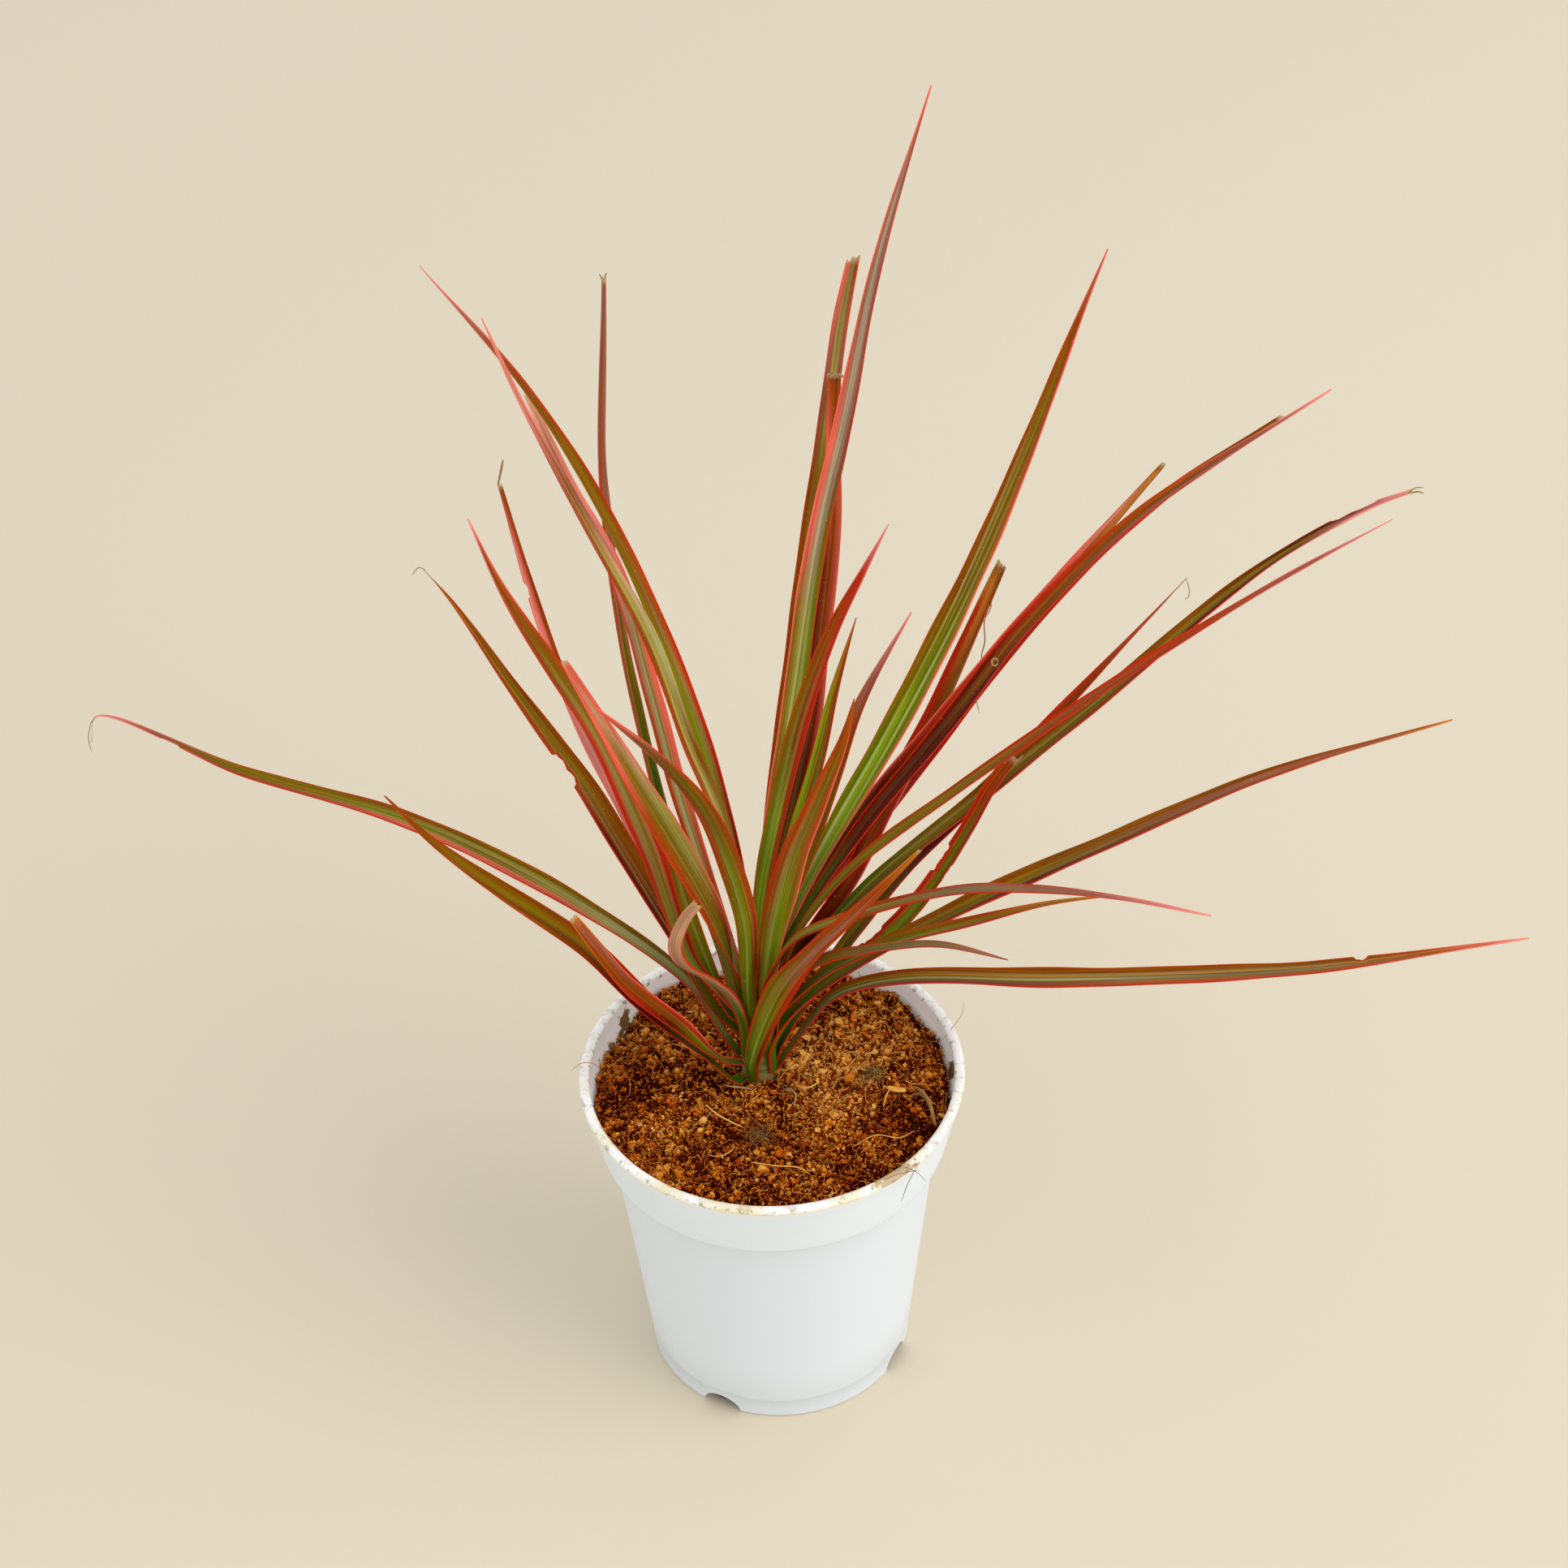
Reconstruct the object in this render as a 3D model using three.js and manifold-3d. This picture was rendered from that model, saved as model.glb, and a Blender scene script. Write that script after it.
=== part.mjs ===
// A young variegated dragon tree in a round nursery pot, in millimetres, +Z up.
// The origin is on the floor, on the pot's axis. +X is right and +Y is back, away from the viewer.

import * as THREE from 'three';
import { mergeVertices } from 'three/addons/utils/BufferGeometryUtils.js';
import Module from 'manifold-3d';

const wasm = await Module();
wasm.setup();

// Clear space between two pieces that rest on each other.
const GAP = 0.3;

// The pot: a tapered wall, a deeper collar and a rolled rim.
const POT_HEIGHT = 97;
const RIM_RADIUS = 50;
const RIM_LIP_HEIGHT = 4;
const RIM_LIP_WIDTH = 2.6;
const COLLAR_TOP_RADIUS = 48.6;
const COLLAR_BOTTOM_RADIUS = 45.9;
const COLLAR_BOTTOM = 77.6;
const WALL_TOP_RADIUS = 43.1;
const FOOT_LINE = 7;
const FOOT_STEP = 0.4;
const BASE_RADIUS = 35.5;
const WALL = 1.3;
const FLOOR = 1.6;
const POT_SEGMENTS = 60;

// Four drain notches cut the foot. The first lies a little left of the front.
const NOTCH_COUNT = 4;
const NOTCH_HEADING = -118;
const NOTCH_WIDTH = 11;
const NOTCH_HEIGHT = 4.5;
const NOTCH_DEPTH = 6;

// The potting mix: a filling of coir with an uneven top that dips towards the wall.
const MIX_TOP = 92;
const MIX_EDGE_DROP = 1.5;
const MIX_LUMP = 0.9;
const MIX_SECTORS = 48;
const MIX_RINGS = 8;

// The cane, which stands a little left of the pot's axis.
const CANE = { right: -3.5, back: 3.5 };
const CANE_BOTTOM = 56;
const CANE_RADIUS = 4.2;
const CANE_FOOT_RADIUS = 3.4;
const CANE_TAPER_START = 100;
const CANE_TOP = 136;
const CANE_TOP_RADIUS = 1.1;
const CANE_SEGMENTS = 20;

// The leaves: thin channelled straps.
const LEAF_THICKNESS = 0.7;
const LEAF_STATIONS = 16;
const LEAF_ROOT_WIDTH = 3.4;
const LEAF_TIP_WIDTH = 0.9;
const LEAF_WIDEST_AT = 0.42;
const LEAF_TAPER = 1.6;
const LEAF_CHANNEL = 0.25;
const TURN_FROM_CANE = 0.3;
const BITE_EDGE = 0.008;
const LEAF_STANDOFF = 0.3;

// One row for each leaf. root is the heading round the cane, in degrees from +X towards +Y, and the
// height above the floor. spine holds the points that the middle line passes, as [right, back, up].
// width is the widest, faces the heading the blade lies square to if that isn't its own, and roll
// turns the blade about its middle line, left edge up if positive.
// keep is the share of a whole leaf that a cut one has left, rake the slant of the cut in mm,
// channel how deeply the blade is folded, thread the share from which only a dry thread is left and
// taper how soon the blade narrows past its widest place, sooner the smaller it is.
// A bite is missing from one edge, 1 for the left one, between two shares of the length.
const LEAVES = {
  leaf_left_1: {
    root: [171, 98], width: 6.4, thread: 0.96,
    spine: [[-13, 5, 107], [-20, 8, 120], [-34, 13, 132], [-61, 24, 145], [-92, 37, 154],
      [-134, 50, 161], [-173, 65, 169], [-175, 63, 162]],
    bites: [{ side: 1, from: 0.84, to: 0.87, depth: 0.6 }],
  },
  leaf_left_2: {
    root: [165, 106], width: 6.6, thread: 0.96,
    spine: [[-15, 6, 115], [-23, 11, 134], [-35, 25, 150], [-46, 39, 163], [-63, 58, 179],
      [-79, 76, 195], [-86, 83, 200]],
    bites: [{ side: 1, from: 0.53, to: 0.6, depth: 1.6 }],
  },
  leaf_left_3: {
    root: [148, 109], width: 4, keep: 0.9, channel: 0.6,
    spine: [[-14, 11, 118], [-25, 19, 137], [-36, 37, 155], [-46, 54, 168], [-54, 70, 182],
      [-60, 85, 196], [-66, 101, 213]],
    bites: [{ side: 1, from: 0.8, to: 0.83, depth: 0.8 }],
  },
  leaf_left_4: {
    root: [138, 113], width: 5, keep: 0.88,
    spine: [[-8, 11, 121], [-15, 25, 141], [-21, 40, 155], [-28, 60, 176], [-36, 80, 199],
      [-48, 97, 217], [-58, 113, 233]],
  },
  leaf_left_5: {
    root: [133, 103], width: 4.2, roll: 52, keep: 0.85, channel: 0.7,
    spine: [[-9, 12, 113], [-15, 24, 129], [-25, 39, 144], [-30, 53, 158], [-36, 76, 180],
      [-40, 107, 210], [-38, 144, 248]],
  },
  leaf_left_6: {
    root: [175, 111], width: 4.2,
    spine: [[-10, 4, 113], [-15, 8, 125], [-21, 18, 140], [-24, 25, 150], [-29, 34, 161],
      [-33, 43, 168]],
  },
  leaf_left_7: {
    root: [195, 113], width: 7.8,
    spine: [[-13, 2, 123], [-20, 4, 134], [-29, 12, 165], [-40, 23, 191], [-51, 32, 207], [-62, 41, 224],
      [-69, 48, 240]],
  },
  leaf_left_8: {
    root: [125, 124], width: 4.4,
    spine: [[-6, 14, 138], [-11, 20, 167], [-18, 26, 186], [-26, 36, 210], [-41, 48, 239],
      [-55, 60, 266], [-63, 68, 284]],
  },
  leaf_left_9: {
    root: [95, 116], width: 4.4,
    spine: [[-5, 16, 130], [-8, 24, 152], [-12, 30, 171], [-20, 42, 195], [-35, 61, 227], [-54, 79, 255],
      [-80, 98, 281]],
  },
  leaf_front_1: {
    root: [212, 93.3], width: 6, roll: -42,
    spine: [[-10, -3, 96], [-19, -3, 108], [-31, -4, 125], [-46, -2, 145], [-65, -2, 164], [-80, 0, 178],
      [-91, 3, 191]],
  },
  leaf_front_2: {
    root: [224, 99], width: 4.4, roll: -60, keep: 0.8,
    spine: [[-13, -4, 105], [-23, -7, 121], [-35, -11, 139], [-42, -12, 153], [-47, -12, 163]],
  },
  leaf_front_3: {
    root: [230, 102], width: 4.6, keep: 0.8,
    spine: [[-7, -1, 114], [-10, -4, 127], [-15, -10, 139], [-21, -16, 150], [-22, -20, 161],
      [-19, -21, 170], [-16, -22, 175]],
  },
  leaf_front_4: {
    root: [215, 119], width: 7.2, roll: -40, keep: 0.93,
    spine: [[-7, 3, 121], [-12, 1, 147], [-19, 2, 166], [-29, 5, 188], [-38, 10, 206], [-46, 16, 220]],
  },
  leaf_front_5: {
    root: [250, 113], width: 6, faces: -90,
    spine: [[-5, -2, 128], [-5, -3, 151], [-9, -2, 172], [-15, -3, 191], [-25, -3, 206], [-38, -2, 220]],
  },
  leaf_front_6: {
    root: [-75, 118.5], width: 7.4, faces: -90,
    spine: [[-1, -1, 126], [2, 0, 146], [7, 1, 168], [14, 3, 186], [20, 7, 200], [23, 11, 210]],
  },
  leaf_front_7: {
    root: [-108, 94], width: 7.8, faces: -90, keep: 0.93, taper: 0.7,
    spine: [[-5, -5, 104], [-2, -6, 117], [4, -8, 134], [12, -9, 147], [23, -8, 159], [38, -6, 176]],
  },
  leaf_back_1: {
    root: [80, 103], width: 5.4, keep: 0.72, rake: -1.2,
    spine: [[-1, 22, 130], [2, 39, 147], [7, 60, 169], [13, 84, 195], [19, 108, 220], [24, 126, 243],
      [28, 137, 256]],
  },
  leaf_back_2: {
    root: [88, 122], width: 5.9,
    spine: [[-1, 16, 136], [3, 32, 158], [9, 50, 182], [16, 73, 213], [24, 91, 238], [33, 113, 268],
      [48, 139, 304]],
  },
  leaf_back_3: {
    root: [97, 108], width: 5, keep: 0.7, channel: 0.6,
    spine: [[1, 20, 132], [8, 35, 155], [13, 48, 171], [16, 63, 185], [20, 83, 206], [21, 98, 221],
      [22, 113, 236]],
  },
  leaf_back_4: {
    root: [75, 131], width: 6,
    spine: [[-1, 15, 145], [2, 19, 159], [6, 25, 174], [11, 31, 191], [19, 39, 210], [26, 44, 222],
      [33, 50, 233]],
  },
  leaf_back_5: {
    root: [60, 126], width: 4.6,
    spine: [[2, 15, 139], [6, 21, 150], [11, 30, 162], [15, 37, 173], [19, 45, 186], [25, 55, 201]],
  },
  leaf_back_6: {
    root: [-5, 128], width: 4.6,
    spine: [[1, 6, 131], [6, 11, 146], [12, 17, 159], [19, 24, 177], [25, 30, 193], [38, 38, 215]],
  },
  leaf_right_1: {
    root: [22, 121], width: 7.4,
    spine: [[1, 6, 125], [7, 15, 139], [18, 25, 156], [32, 41, 172], [52, 68, 195], [71, 98, 221],
      [85, 122, 243], [94, 136, 257]],
  },
  leaf_right_2: {
    root: [47, 108.5], width: 5.8, keep: 0.8, rake: 0.8,
    spine: [[4, 13, 119], [13, 17, 131], [22, 25, 140], [31, 37, 152], [44, 55, 167], [54, 70, 180],
      [64, 85, 194]],
  },
  leaf_right_3: {
    root: [42, 117], width: 6.2, keep: 0.92,
    spine: [[1, 8, 123], [8, 16, 135], [21, 28, 151], [44, 48, 168], [65, 67, 183], [85, 84, 197],
      [107, 101, 213]],
  },
  leaf_right_4: {
    root: [-4, 123], width: 5.6,
    spine: [[2, 4, 130], [9, 9, 142], [24, 22, 158], [47, 38, 179], [68, 53, 199], [96, 69, 219],
      [146, 88, 243]],
  },
  leaf_right_5: {
    root: [60, 113], width: 5.6, keep: 0.96,
    spine: [[2, 11, 121], [12, 23, 135], [31, 40, 149], [55, 62, 169], [79, 82, 187], [109, 100, 205],
      [139, 114, 218]],
  },
  leaf_right_6: {
    root: [36, 101.5], width: 4.8, thread: 0.96,
    spine: [[3, 6, 107], [14, 14, 117], [24, 20, 128], [36, 29, 139], [59, 44, 154], [84, 63, 170],
      [112, 82, 190]],
  },
  leaf_right_7: {
    root: [6, 103], width: 5.2, keep: 0.9,
    spine: [[4, 6, 121], [11, 11, 128], [27, 19, 143], [53, 35, 155], [83, 52, 170], [132, 81, 194],
      [159, 91, 204], [171, 95, 206]],
    bites: [{ side: 1, from: 0.9, to: 0.96, depth: 0.5 }],
  },
  leaf_right_8: {
    root: [-13, 118], width: 3.6,
    spine: [[3, 2, 127], [8, 3, 142], [21, 11, 155], [48, 17, 175], [84, 26, 198], [125, 37, 220],
      [155, 44, 234]],
  },
  leaf_right_9: {
    root: [8, 96.5], width: 5.4, keep: 0.72,
    spine: [[3, 3, 104], [13, 7, 120], [29, 10, 132], [40, 14, 143], [51, 25, 154], [58, 34, 161],
      [64, 39, 167]],
    bites: [{ side: 1, from: 0.4, to: 0.47, depth: 0.5 }, { side: 1, from: 0.66, to: 0.74, depth: 0.7 },
      { side: -1, from: 0.62, to: 0.7, depth: 0.5 }],
  },
  leaf_right_10: {
    root: [-34, 95.5], width: 6,
    spine: [[1, -1, 107], [8, -1, 120], [23, 2, 132], [49, 10, 142], [85, 27, 146], [130, 44, 154],
      [180, 57, 160]],
  },
  leaf_right_11: {
    root: [-67, 110], width: 4,
    spine: [[1, -4, 135], [7, -3, 145], [23, -2, 152], [47, -9, 165], [66, -15, 170], [85, -20, 171],
      [107, -23, 167]],
  },
  leaf_right_12: {
    root: [-18, 109.5], width: 4.4,
    spine: [[3, 0, 117], [15, -1, 132], [31, -2, 142], [51, -5, 151], [69, -7, 158], [85, -9, 162]],
  },
  leaf_right_13: {
    root: [-58, 103], width: 4.2,
    spine: [[1, -4, 118], [6, -3, 129], [13, -5, 139], [31, -10, 148], [43, -13, 151], [59, -17, 149]],
  },
  leaf_right_14: {
    root: [0, 94], width: 7.2,
    spine: [[5, 4, 100], [11, 5, 110], [17, 6, 117], [32, 8, 120], [74, 10, 116], [137, 14, 113],
      [198, 20, 116]],
    bites: [{ side: 1, from: 0.78, to: 0.8, depth: 1 }],
  },
};

const POT_COLOUR = '#e4e8ee';
const MIX_COLOUR = '#7a431c';
const CANE_COLOUR = '#8a7a50';
const LEAF_COLOUR = '#6f7a1f';

const { degToRad: radians, lerp, mapLinear } = THREE.MathUtils;
const smooth = (value, low, high) => THREE.MathUtils.smoothstep(value, low, high);

// Turns a closed three.js geometry into a solid that can be cut and joined.
function toSolid(geometry) {
  const bare = geometry.clone();
  bare.deleteAttribute('normal');
  bare.deleteAttribute('uv');
  const merged = mergeVertices(bare, 1e-4);
  return new wasm.Manifold(new wasm.Mesh({
    numProp: 3,
    vertProperties: Float32Array.from(merged.attributes.position.array),
    triVerts: Uint32Array.from(merged.index.array),
  }));
}

function toGeometry(solid) {
  const { vertProperties, triVerts } = solid.getMesh();
  return indexedGeometry(vertProperties, triVerts);
}

function indexedGeometry(positions, indices) {
  const geometry = new THREE.BufferGeometry();
  geometry.setAttribute('position', new THREE.Float32BufferAttribute(positions, 3));
  geometry.setIndex(Array.from(indices));
  geometry.computeVertexNormals();
  return geometry;
}

// A solid of revolution about +Z from a profile of [radius, height] pairs, bottom first.
function turned(profile, segments) {
  const points = profile.map(([radius, height]) => new THREE.Vector2(radius, height));
  return new THREE.LatheGeometry(points, segments).rotateX(Math.PI / 2);
}

// Radius of the pot's outer wall below the collar, at a height.
function wallRadius(height) {
  return mapLinear(height, FOOT_LINE, COLLAR_BOTTOM, BASE_RADIUS + FOOT_STEP, WALL_TOP_RADIUS);
}

// Radius of the pot's inner face at a height.
function innerRadius(height) {
  if (height <= COLLAR_BOTTOM) return wallRadius(Math.max(height, FOOT_LINE)) - WALL;
  const top = POT_HEIGHT - RIM_LIP_HEIGHT;
  return mapLinear(height, COLLAR_BOTTOM, top, WALL_TOP_RADIUS - WALL, COLLAR_TOP_RADIUS - WALL);
}

function potGeometry() {
  const lipBottom = POT_HEIGHT - RIM_LIP_HEIGHT;
  const lipInner = RIM_RADIUS - RIM_LIP_WIDTH;
  const shell = toSolid(turned([
    [0, 0],
    [BASE_RADIUS, 0],
    [BASE_RADIUS, FOOT_LINE - FOOT_STEP],
    [wallRadius(FOOT_LINE), FOOT_LINE],
    [WALL_TOP_RADIUS, COLLAR_BOTTOM],
    [COLLAR_BOTTOM_RADIUS, COLLAR_BOTTOM],
    [COLLAR_TOP_RADIUS, lipBottom],
    [RIM_RADIUS - 0.3, lipBottom],
    [RIM_RADIUS, lipBottom + 0.6],
    [RIM_RADIUS, POT_HEIGHT - 1.2],
    [RIM_RADIUS - 0.8, POT_HEIGHT - 0.2],
    [RIM_RADIUS - RIM_LIP_WIDTH / 2, POT_HEIGHT],
    [lipInner + 0.4, POT_HEIGHT - 0.5],
    [lipInner, POT_HEIGHT - 1.5],
    [innerRadius(lipBottom), lipBottom - 1],
    [innerRadius(COLLAR_BOTTOM + 1), COLLAR_BOTTOM + 1],
    [innerRadius(FOOT_LINE), FOOT_LINE],
    [innerRadius(FOOT_LINE), FLOOR],
    [0, FLOOR],
  ], POT_SEGMENTS));
  const cutters = Array.from({ length: NOTCH_COUNT }, (unused, number) => toSolid(notchCutter(number)));
  return toGeometry(cutters.reduce((solid, cutter) => solid.subtract(cutter), shell));
}

// A bar with a half-round top that runs in through the foot.
function notchCutter(number) {
  const half = NOTCH_WIDTH / 2;
  const outline = new THREE.Shape();
  outline.moveTo(-half, -1);
  outline.lineTo(half, -1);
  outline.absellipse(0, 0, half, NOTCH_HEIGHT, 0, Math.PI, false);
  const bar = new THREE.ExtrudeGeometry(outline, {
    depth: NOTCH_DEPTH + 2,
    bevelEnabled: false,
    curveSegments: 8,
  });
  const heading = radians(NOTCH_HEADING + number * 360 / NOTCH_COUNT);
  return bar.rotateX(Math.PI / 2)
    .translate(0, BASE_RADIUS + 2, 0)
    .rotateZ(heading - Math.PI / 2);
}

// Height of the mix's top at a distance and heading from the pot's axis: a slow roll in three waves
// and a dip towards the wall.
function mixHeight(radius, heading, edge) {
  const right = radius * Math.cos(heading);
  const back = radius * Math.sin(heading);
  const roll = Math.sin(right / 5.3 + 1) * Math.cos(back / 6.1) + 0.6 * Math.sin((right - back) / 3.7);
  const lump = MIX_LUMP * roll * smooth(radius, 9, 16);
  return MIX_TOP + lump - MIX_EDGE_DROP * smooth(radius / edge, 0.75, 1);
}

// The filling: a floor, a wall that follows the pot's, the uneven top and a plain hole for the cane.
function mixGeometry() {
  const bottom = FLOOR + GAP;
  const edge = innerRadius(MIX_TOP - MIX_EDGE_DROP) - 2 * GAP;
  const holeRadius = CANE_RADIUS + GAP;
  const holeBottom = CANE_BOTTOM - GAP;
  const positions = [0, 0, bottom];
  const addRing = (place) => {
    for (let sector = 0; sector < MIX_SECTORS; sector += 1) {
      positions.push(...place(sector / MIX_SECTORS * 2 * Math.PI));
    }
  };
  const round = (radius, height) => (heading) => [
    radius * Math.cos(heading), radius * Math.sin(heading), height,
  ];
  const hole = (height) => (heading) => [
    CANE.right + holeRadius * Math.cos(heading), CANE.back + holeRadius * Math.sin(heading), height,
  ];
  addRing(round(innerRadius(bottom) - 2 * GAP, bottom));
  addRing(round(innerRadius(FOOT_LINE) - 2 * GAP, FOOT_LINE));
  addRing(round(innerRadius(COLLAR_BOTTOM) - 2 * GAP, COLLAR_BOTTOM - 1));
  for (let ring = 0; ring < MIX_RINGS; ring += 1) {
    const share = ring / MIX_RINGS;
    addRing((heading) => {
      const outer = new THREE.Vector2(edge * Math.cos(heading), edge * Math.sin(heading));
      const [right, back] = hole(MIX_TOP)(heading);
      const spot = outer.lerp(new THREE.Vector2(right, back), share);
      return [spot.x, spot.y, mixHeight(spot.length(), Math.atan2(spot.y, spot.x), edge)];
    });
  }
  addRing(hole(MIX_TOP));
  addRing(hole(holeBottom));
  positions.push(CANE.right, CANE.back, holeBottom);
  return ringedGeometry(positions, MIX_SECTORS);
}

// Faces between equal rings that start and end in one point.
function ringedGeometry(positions, count) {
  const last = positions.length / 3 - 1;
  const rings = (last - 1) / count;
  const indices = [];
  for (let side = 0; side < count; side += 1) {
    const next = (side + 1) % count;
    indices.push(0, 1 + next, 1 + side);
    for (let ring = 0; ring < rings - 1; ring += 1) {
      const low = 1 + ring * count;
      const high = low + count;
      indices.push(low + side, low + next, high + next, low + side, high + next, high + side);
    }
    const top = 1 + (rings - 1) * count;
    indices.push(top + side, top + next, last);
  }
  return indexedGeometry(positions, indices);
}

// Radius of the cane at a height.
function caneRadius(height) {
  return lerp(CANE_RADIUS, CANE_TOP_RADIUS, smooth(height, CANE_TAPER_START, CANE_TOP));
}

function caneGeometry() {
  const profile = [[0, CANE_BOTTOM], [CANE_FOOT_RADIUS, CANE_BOTTOM], [CANE_RADIUS, CANE_BOTTOM + 6]];
  for (let height = CANE_TAPER_START; height < CANE_TOP; height += 3) {
    profile.push([caneRadius(height), height]);
  }
  profile.push([CANE_TOP_RADIUS, CANE_TOP], [0, CANE_TOP + 1]);
  return toGeometry(toSolid(turned(profile, CANE_SEGMENTS))).translate(CANE.right, CANE.back, 0);
}

// Width of a whole leaf at a share of its length: narrow at the cane, then full, then drawn to a point.
function leafWidth(leaf, share) {
  const rise = smooth(share, 0, LEAF_WIDEST_AT);
  const fall = Math.max(0, (share - LEAF_WIDEST_AT) / (1 - LEAF_WIDEST_AT)) ** (leaf.taper ?? LEAF_TAPER);
  const grown = lerp(LEAF_ROOT_WIDTH, leaf.width, rise);
  return lerp(grown, LEAF_TIP_WIDTH, fall);
}

// How deep the channel is for each millimetre of half width. A folded blade opens out at the cane.
function leafFold(leaf, share) {
  return lerp(LEAF_CHANNEL, leaf.channel ?? LEAF_CHANNEL, smooth(share, 0, TURN_FROM_CANE));
}

// Half the blade's width on one side, less any bite there.
function halfWidth(leaf, side, share) {
  const blade = Math.min(share / (leaf.thread ?? 1), 1) * (leaf.keep ?? 1);
  const bitten = (leaf.bites ?? []).find((bite) => bite.side === side
    && share > bite.from && share < bite.to);
  return leafWidth(leaf, blade) / 2 - (bitten?.depth ?? 0);
}

// Shares of the length at which the blade gets a section: even steps and the ends of each bite.
function leafStations(leaf) {
  const shares = Array.from({ length: LEAF_STATIONS + 1 }, (unused, step) => step / LEAF_STATIONS);
  const ends = (leaf.bites ?? []).flatMap(({ from, to }) => [from, from + BITE_EDGE, to - BITE_EDGE, to]);
  const near = (share) => ends.some((end) => Math.abs(end - share) < BITE_EDGE);
  return shares.filter((share) => !near(share)).concat(ends).sort((a, b) => a - b);
}

// The middle line, from a seat just off the cane.
function leafCurve(leaf) {
  const [degrees, height] = leaf.root;
  const reach = caneRadius(height) + GAP + LEAF_STANDOFF;
  const seat = new THREE.Vector3(
    CANE.right + reach * Math.cos(radians(degrees)),
    CANE.back + reach * Math.sin(radians(degrees)),
    height,
  );
  const points = leaf.spine.map((point) => new THREE.Vector3(...point));
  return new THREE.CatmullRomCurve3([seat, ...points], false, 'centripetal');
}

// The width and face directions at a share of the length. The blade leaves the cane flat against it
// and turns to lie level across its own heading, or across the heading it faces, and rolls from there.
function leafFrame(leaf, curve, share) {
  const along = curve.getTangentAt(share);
  const reach = curve.getPoint(1).sub(curve.getPoint(0));
  const across = (heading) => new THREE.Vector3(-Math.sin(heading), Math.cos(heading), 0);
  const atCane = across(radians(leaf.root[0]));
  const inAir = across(leaf.faces === undefined ? Math.atan2(reach.y, reach.x) : radians(leaf.faces));
  const width = atCane.lerp(inAir, smooth(share, 0, TURN_FROM_CANE));
  width.addScaledVector(along, -width.dot(along)).normalize();
  width.applyAxisAngle(along, radians(leaf.roll ?? 0) * smooth(share, 0, 0.5));
  const face = new THREE.Vector3().crossVectors(along, width);
  return { along, width, face };
}

// A blade of six-point sections: a shallow channel above and the same channel, one thickness lower.
function leafGeometry(leaf) {
  const curve = leafCurve(leaf);
  const shares = leafStations(leaf);
  const positions = [];
  for (const share of shares) {
    const centre = curve.getPointAt(share);
    const fold = leafFold(leaf, share);
    const { along, width, face } = leafFrame(leaf, curve, share);
    const rake = share === 1 ? (leaf.rake ?? 0) : 0;
    const section = [-1, 0, 1].map((side) => {
      const half = side === 0 ? 0 : halfWidth(leaf, side, share);
      return centre.clone()
        .addScaledVector(width, side * half)
        .addScaledVector(face, half * fold)
        .addScaledVector(along, side * rake);
    });
    for (const point of section) positions.push(...point);
    for (const point of section) positions.push(...point.clone().addScaledVector(face, -LEAF_THICKNESS));
  }
  return indexedGeometry(positions, leafFaces(shares.length));
}

// Points 0 to 2 of a section are the upper face and 3 to 5 the lower one, left to right. Both faces
// are split along the same diagonals.
function leafFaces(count) {
  const faces = [];
  const quad = (a, b, c, d) => faces.push(a, b, c, a, c, d);
  for (let station = 0; station < count - 1; station += 1) {
    const near = station * 6;
    const far = near + 6;
    for (const top of [0, 1]) {
      const low = top + 3;
      quad(near + top, far + top, far + top + 1, near + top + 1);
      faces.push(near + low, near + low + 1, far + low + 1, near + low, far + low + 1, far + low);
    }
    quad(near, near + 3, far + 3, far);
    quad(near + 5, near + 2, far + 2, far + 5);
  }
  const end = (count - 1) * 6;
  for (const top of [0, 1]) {
    quad(top, top + 1, top + 4, top + 3);
    quad(end + top, end + top + 3, end + top + 4, end + top + 1);
  }
  return faces;
}

function part(name, geometry, colour, roughness) {
  const material = new THREE.MeshStandardMaterial({ color: colour, roughness, metalness: 0 });
  const mesh = new THREE.Mesh(geometry, material);
  mesh.name = name;
  return mesh;
}

const plant = new THREE.Group();
plant.add(part('pot', potGeometry(), POT_COLOUR, 0.45));
plant.add(part('potting_mix', mixGeometry(), MIX_COLOUR, 0.95));
plant.add(part('stem', caneGeometry(), CANE_COLOUR, 0.8));
for (const [name, leaf] of Object.entries(LEAVES)) {
  plant.add(part(name, leafGeometry(leaf), LEAF_COLOUR, 0.5));
}

export default plant;
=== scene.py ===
"""A young variegated dragon tree in a white nursery pot, dressed and lit for a studio picture.

Sizes are in millimetres until a mesh is made. +X is right, +Y is back and +Z is up, from the middle
of the pot's foot.
"""

from functools import partial

import bpy
import numpy as np
from mathutils import Matrix


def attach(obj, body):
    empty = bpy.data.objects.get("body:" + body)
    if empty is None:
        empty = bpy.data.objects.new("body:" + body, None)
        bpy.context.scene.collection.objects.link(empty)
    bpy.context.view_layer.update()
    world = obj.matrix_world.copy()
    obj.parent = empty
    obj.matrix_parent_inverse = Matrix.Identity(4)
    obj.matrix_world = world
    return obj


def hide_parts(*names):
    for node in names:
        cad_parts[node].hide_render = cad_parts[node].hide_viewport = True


bl_info = {
    "name": "Potted variegated dragon tree",
    "version": (1, 0, 0),
    "blender": (4, 5, 0),
    "location": "View3D > Sidebar > Dragon tree",
    "description": "Fine leaves, coir, stem and pot for a young dragon tree",
    "category": "Add Mesh",
}

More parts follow.
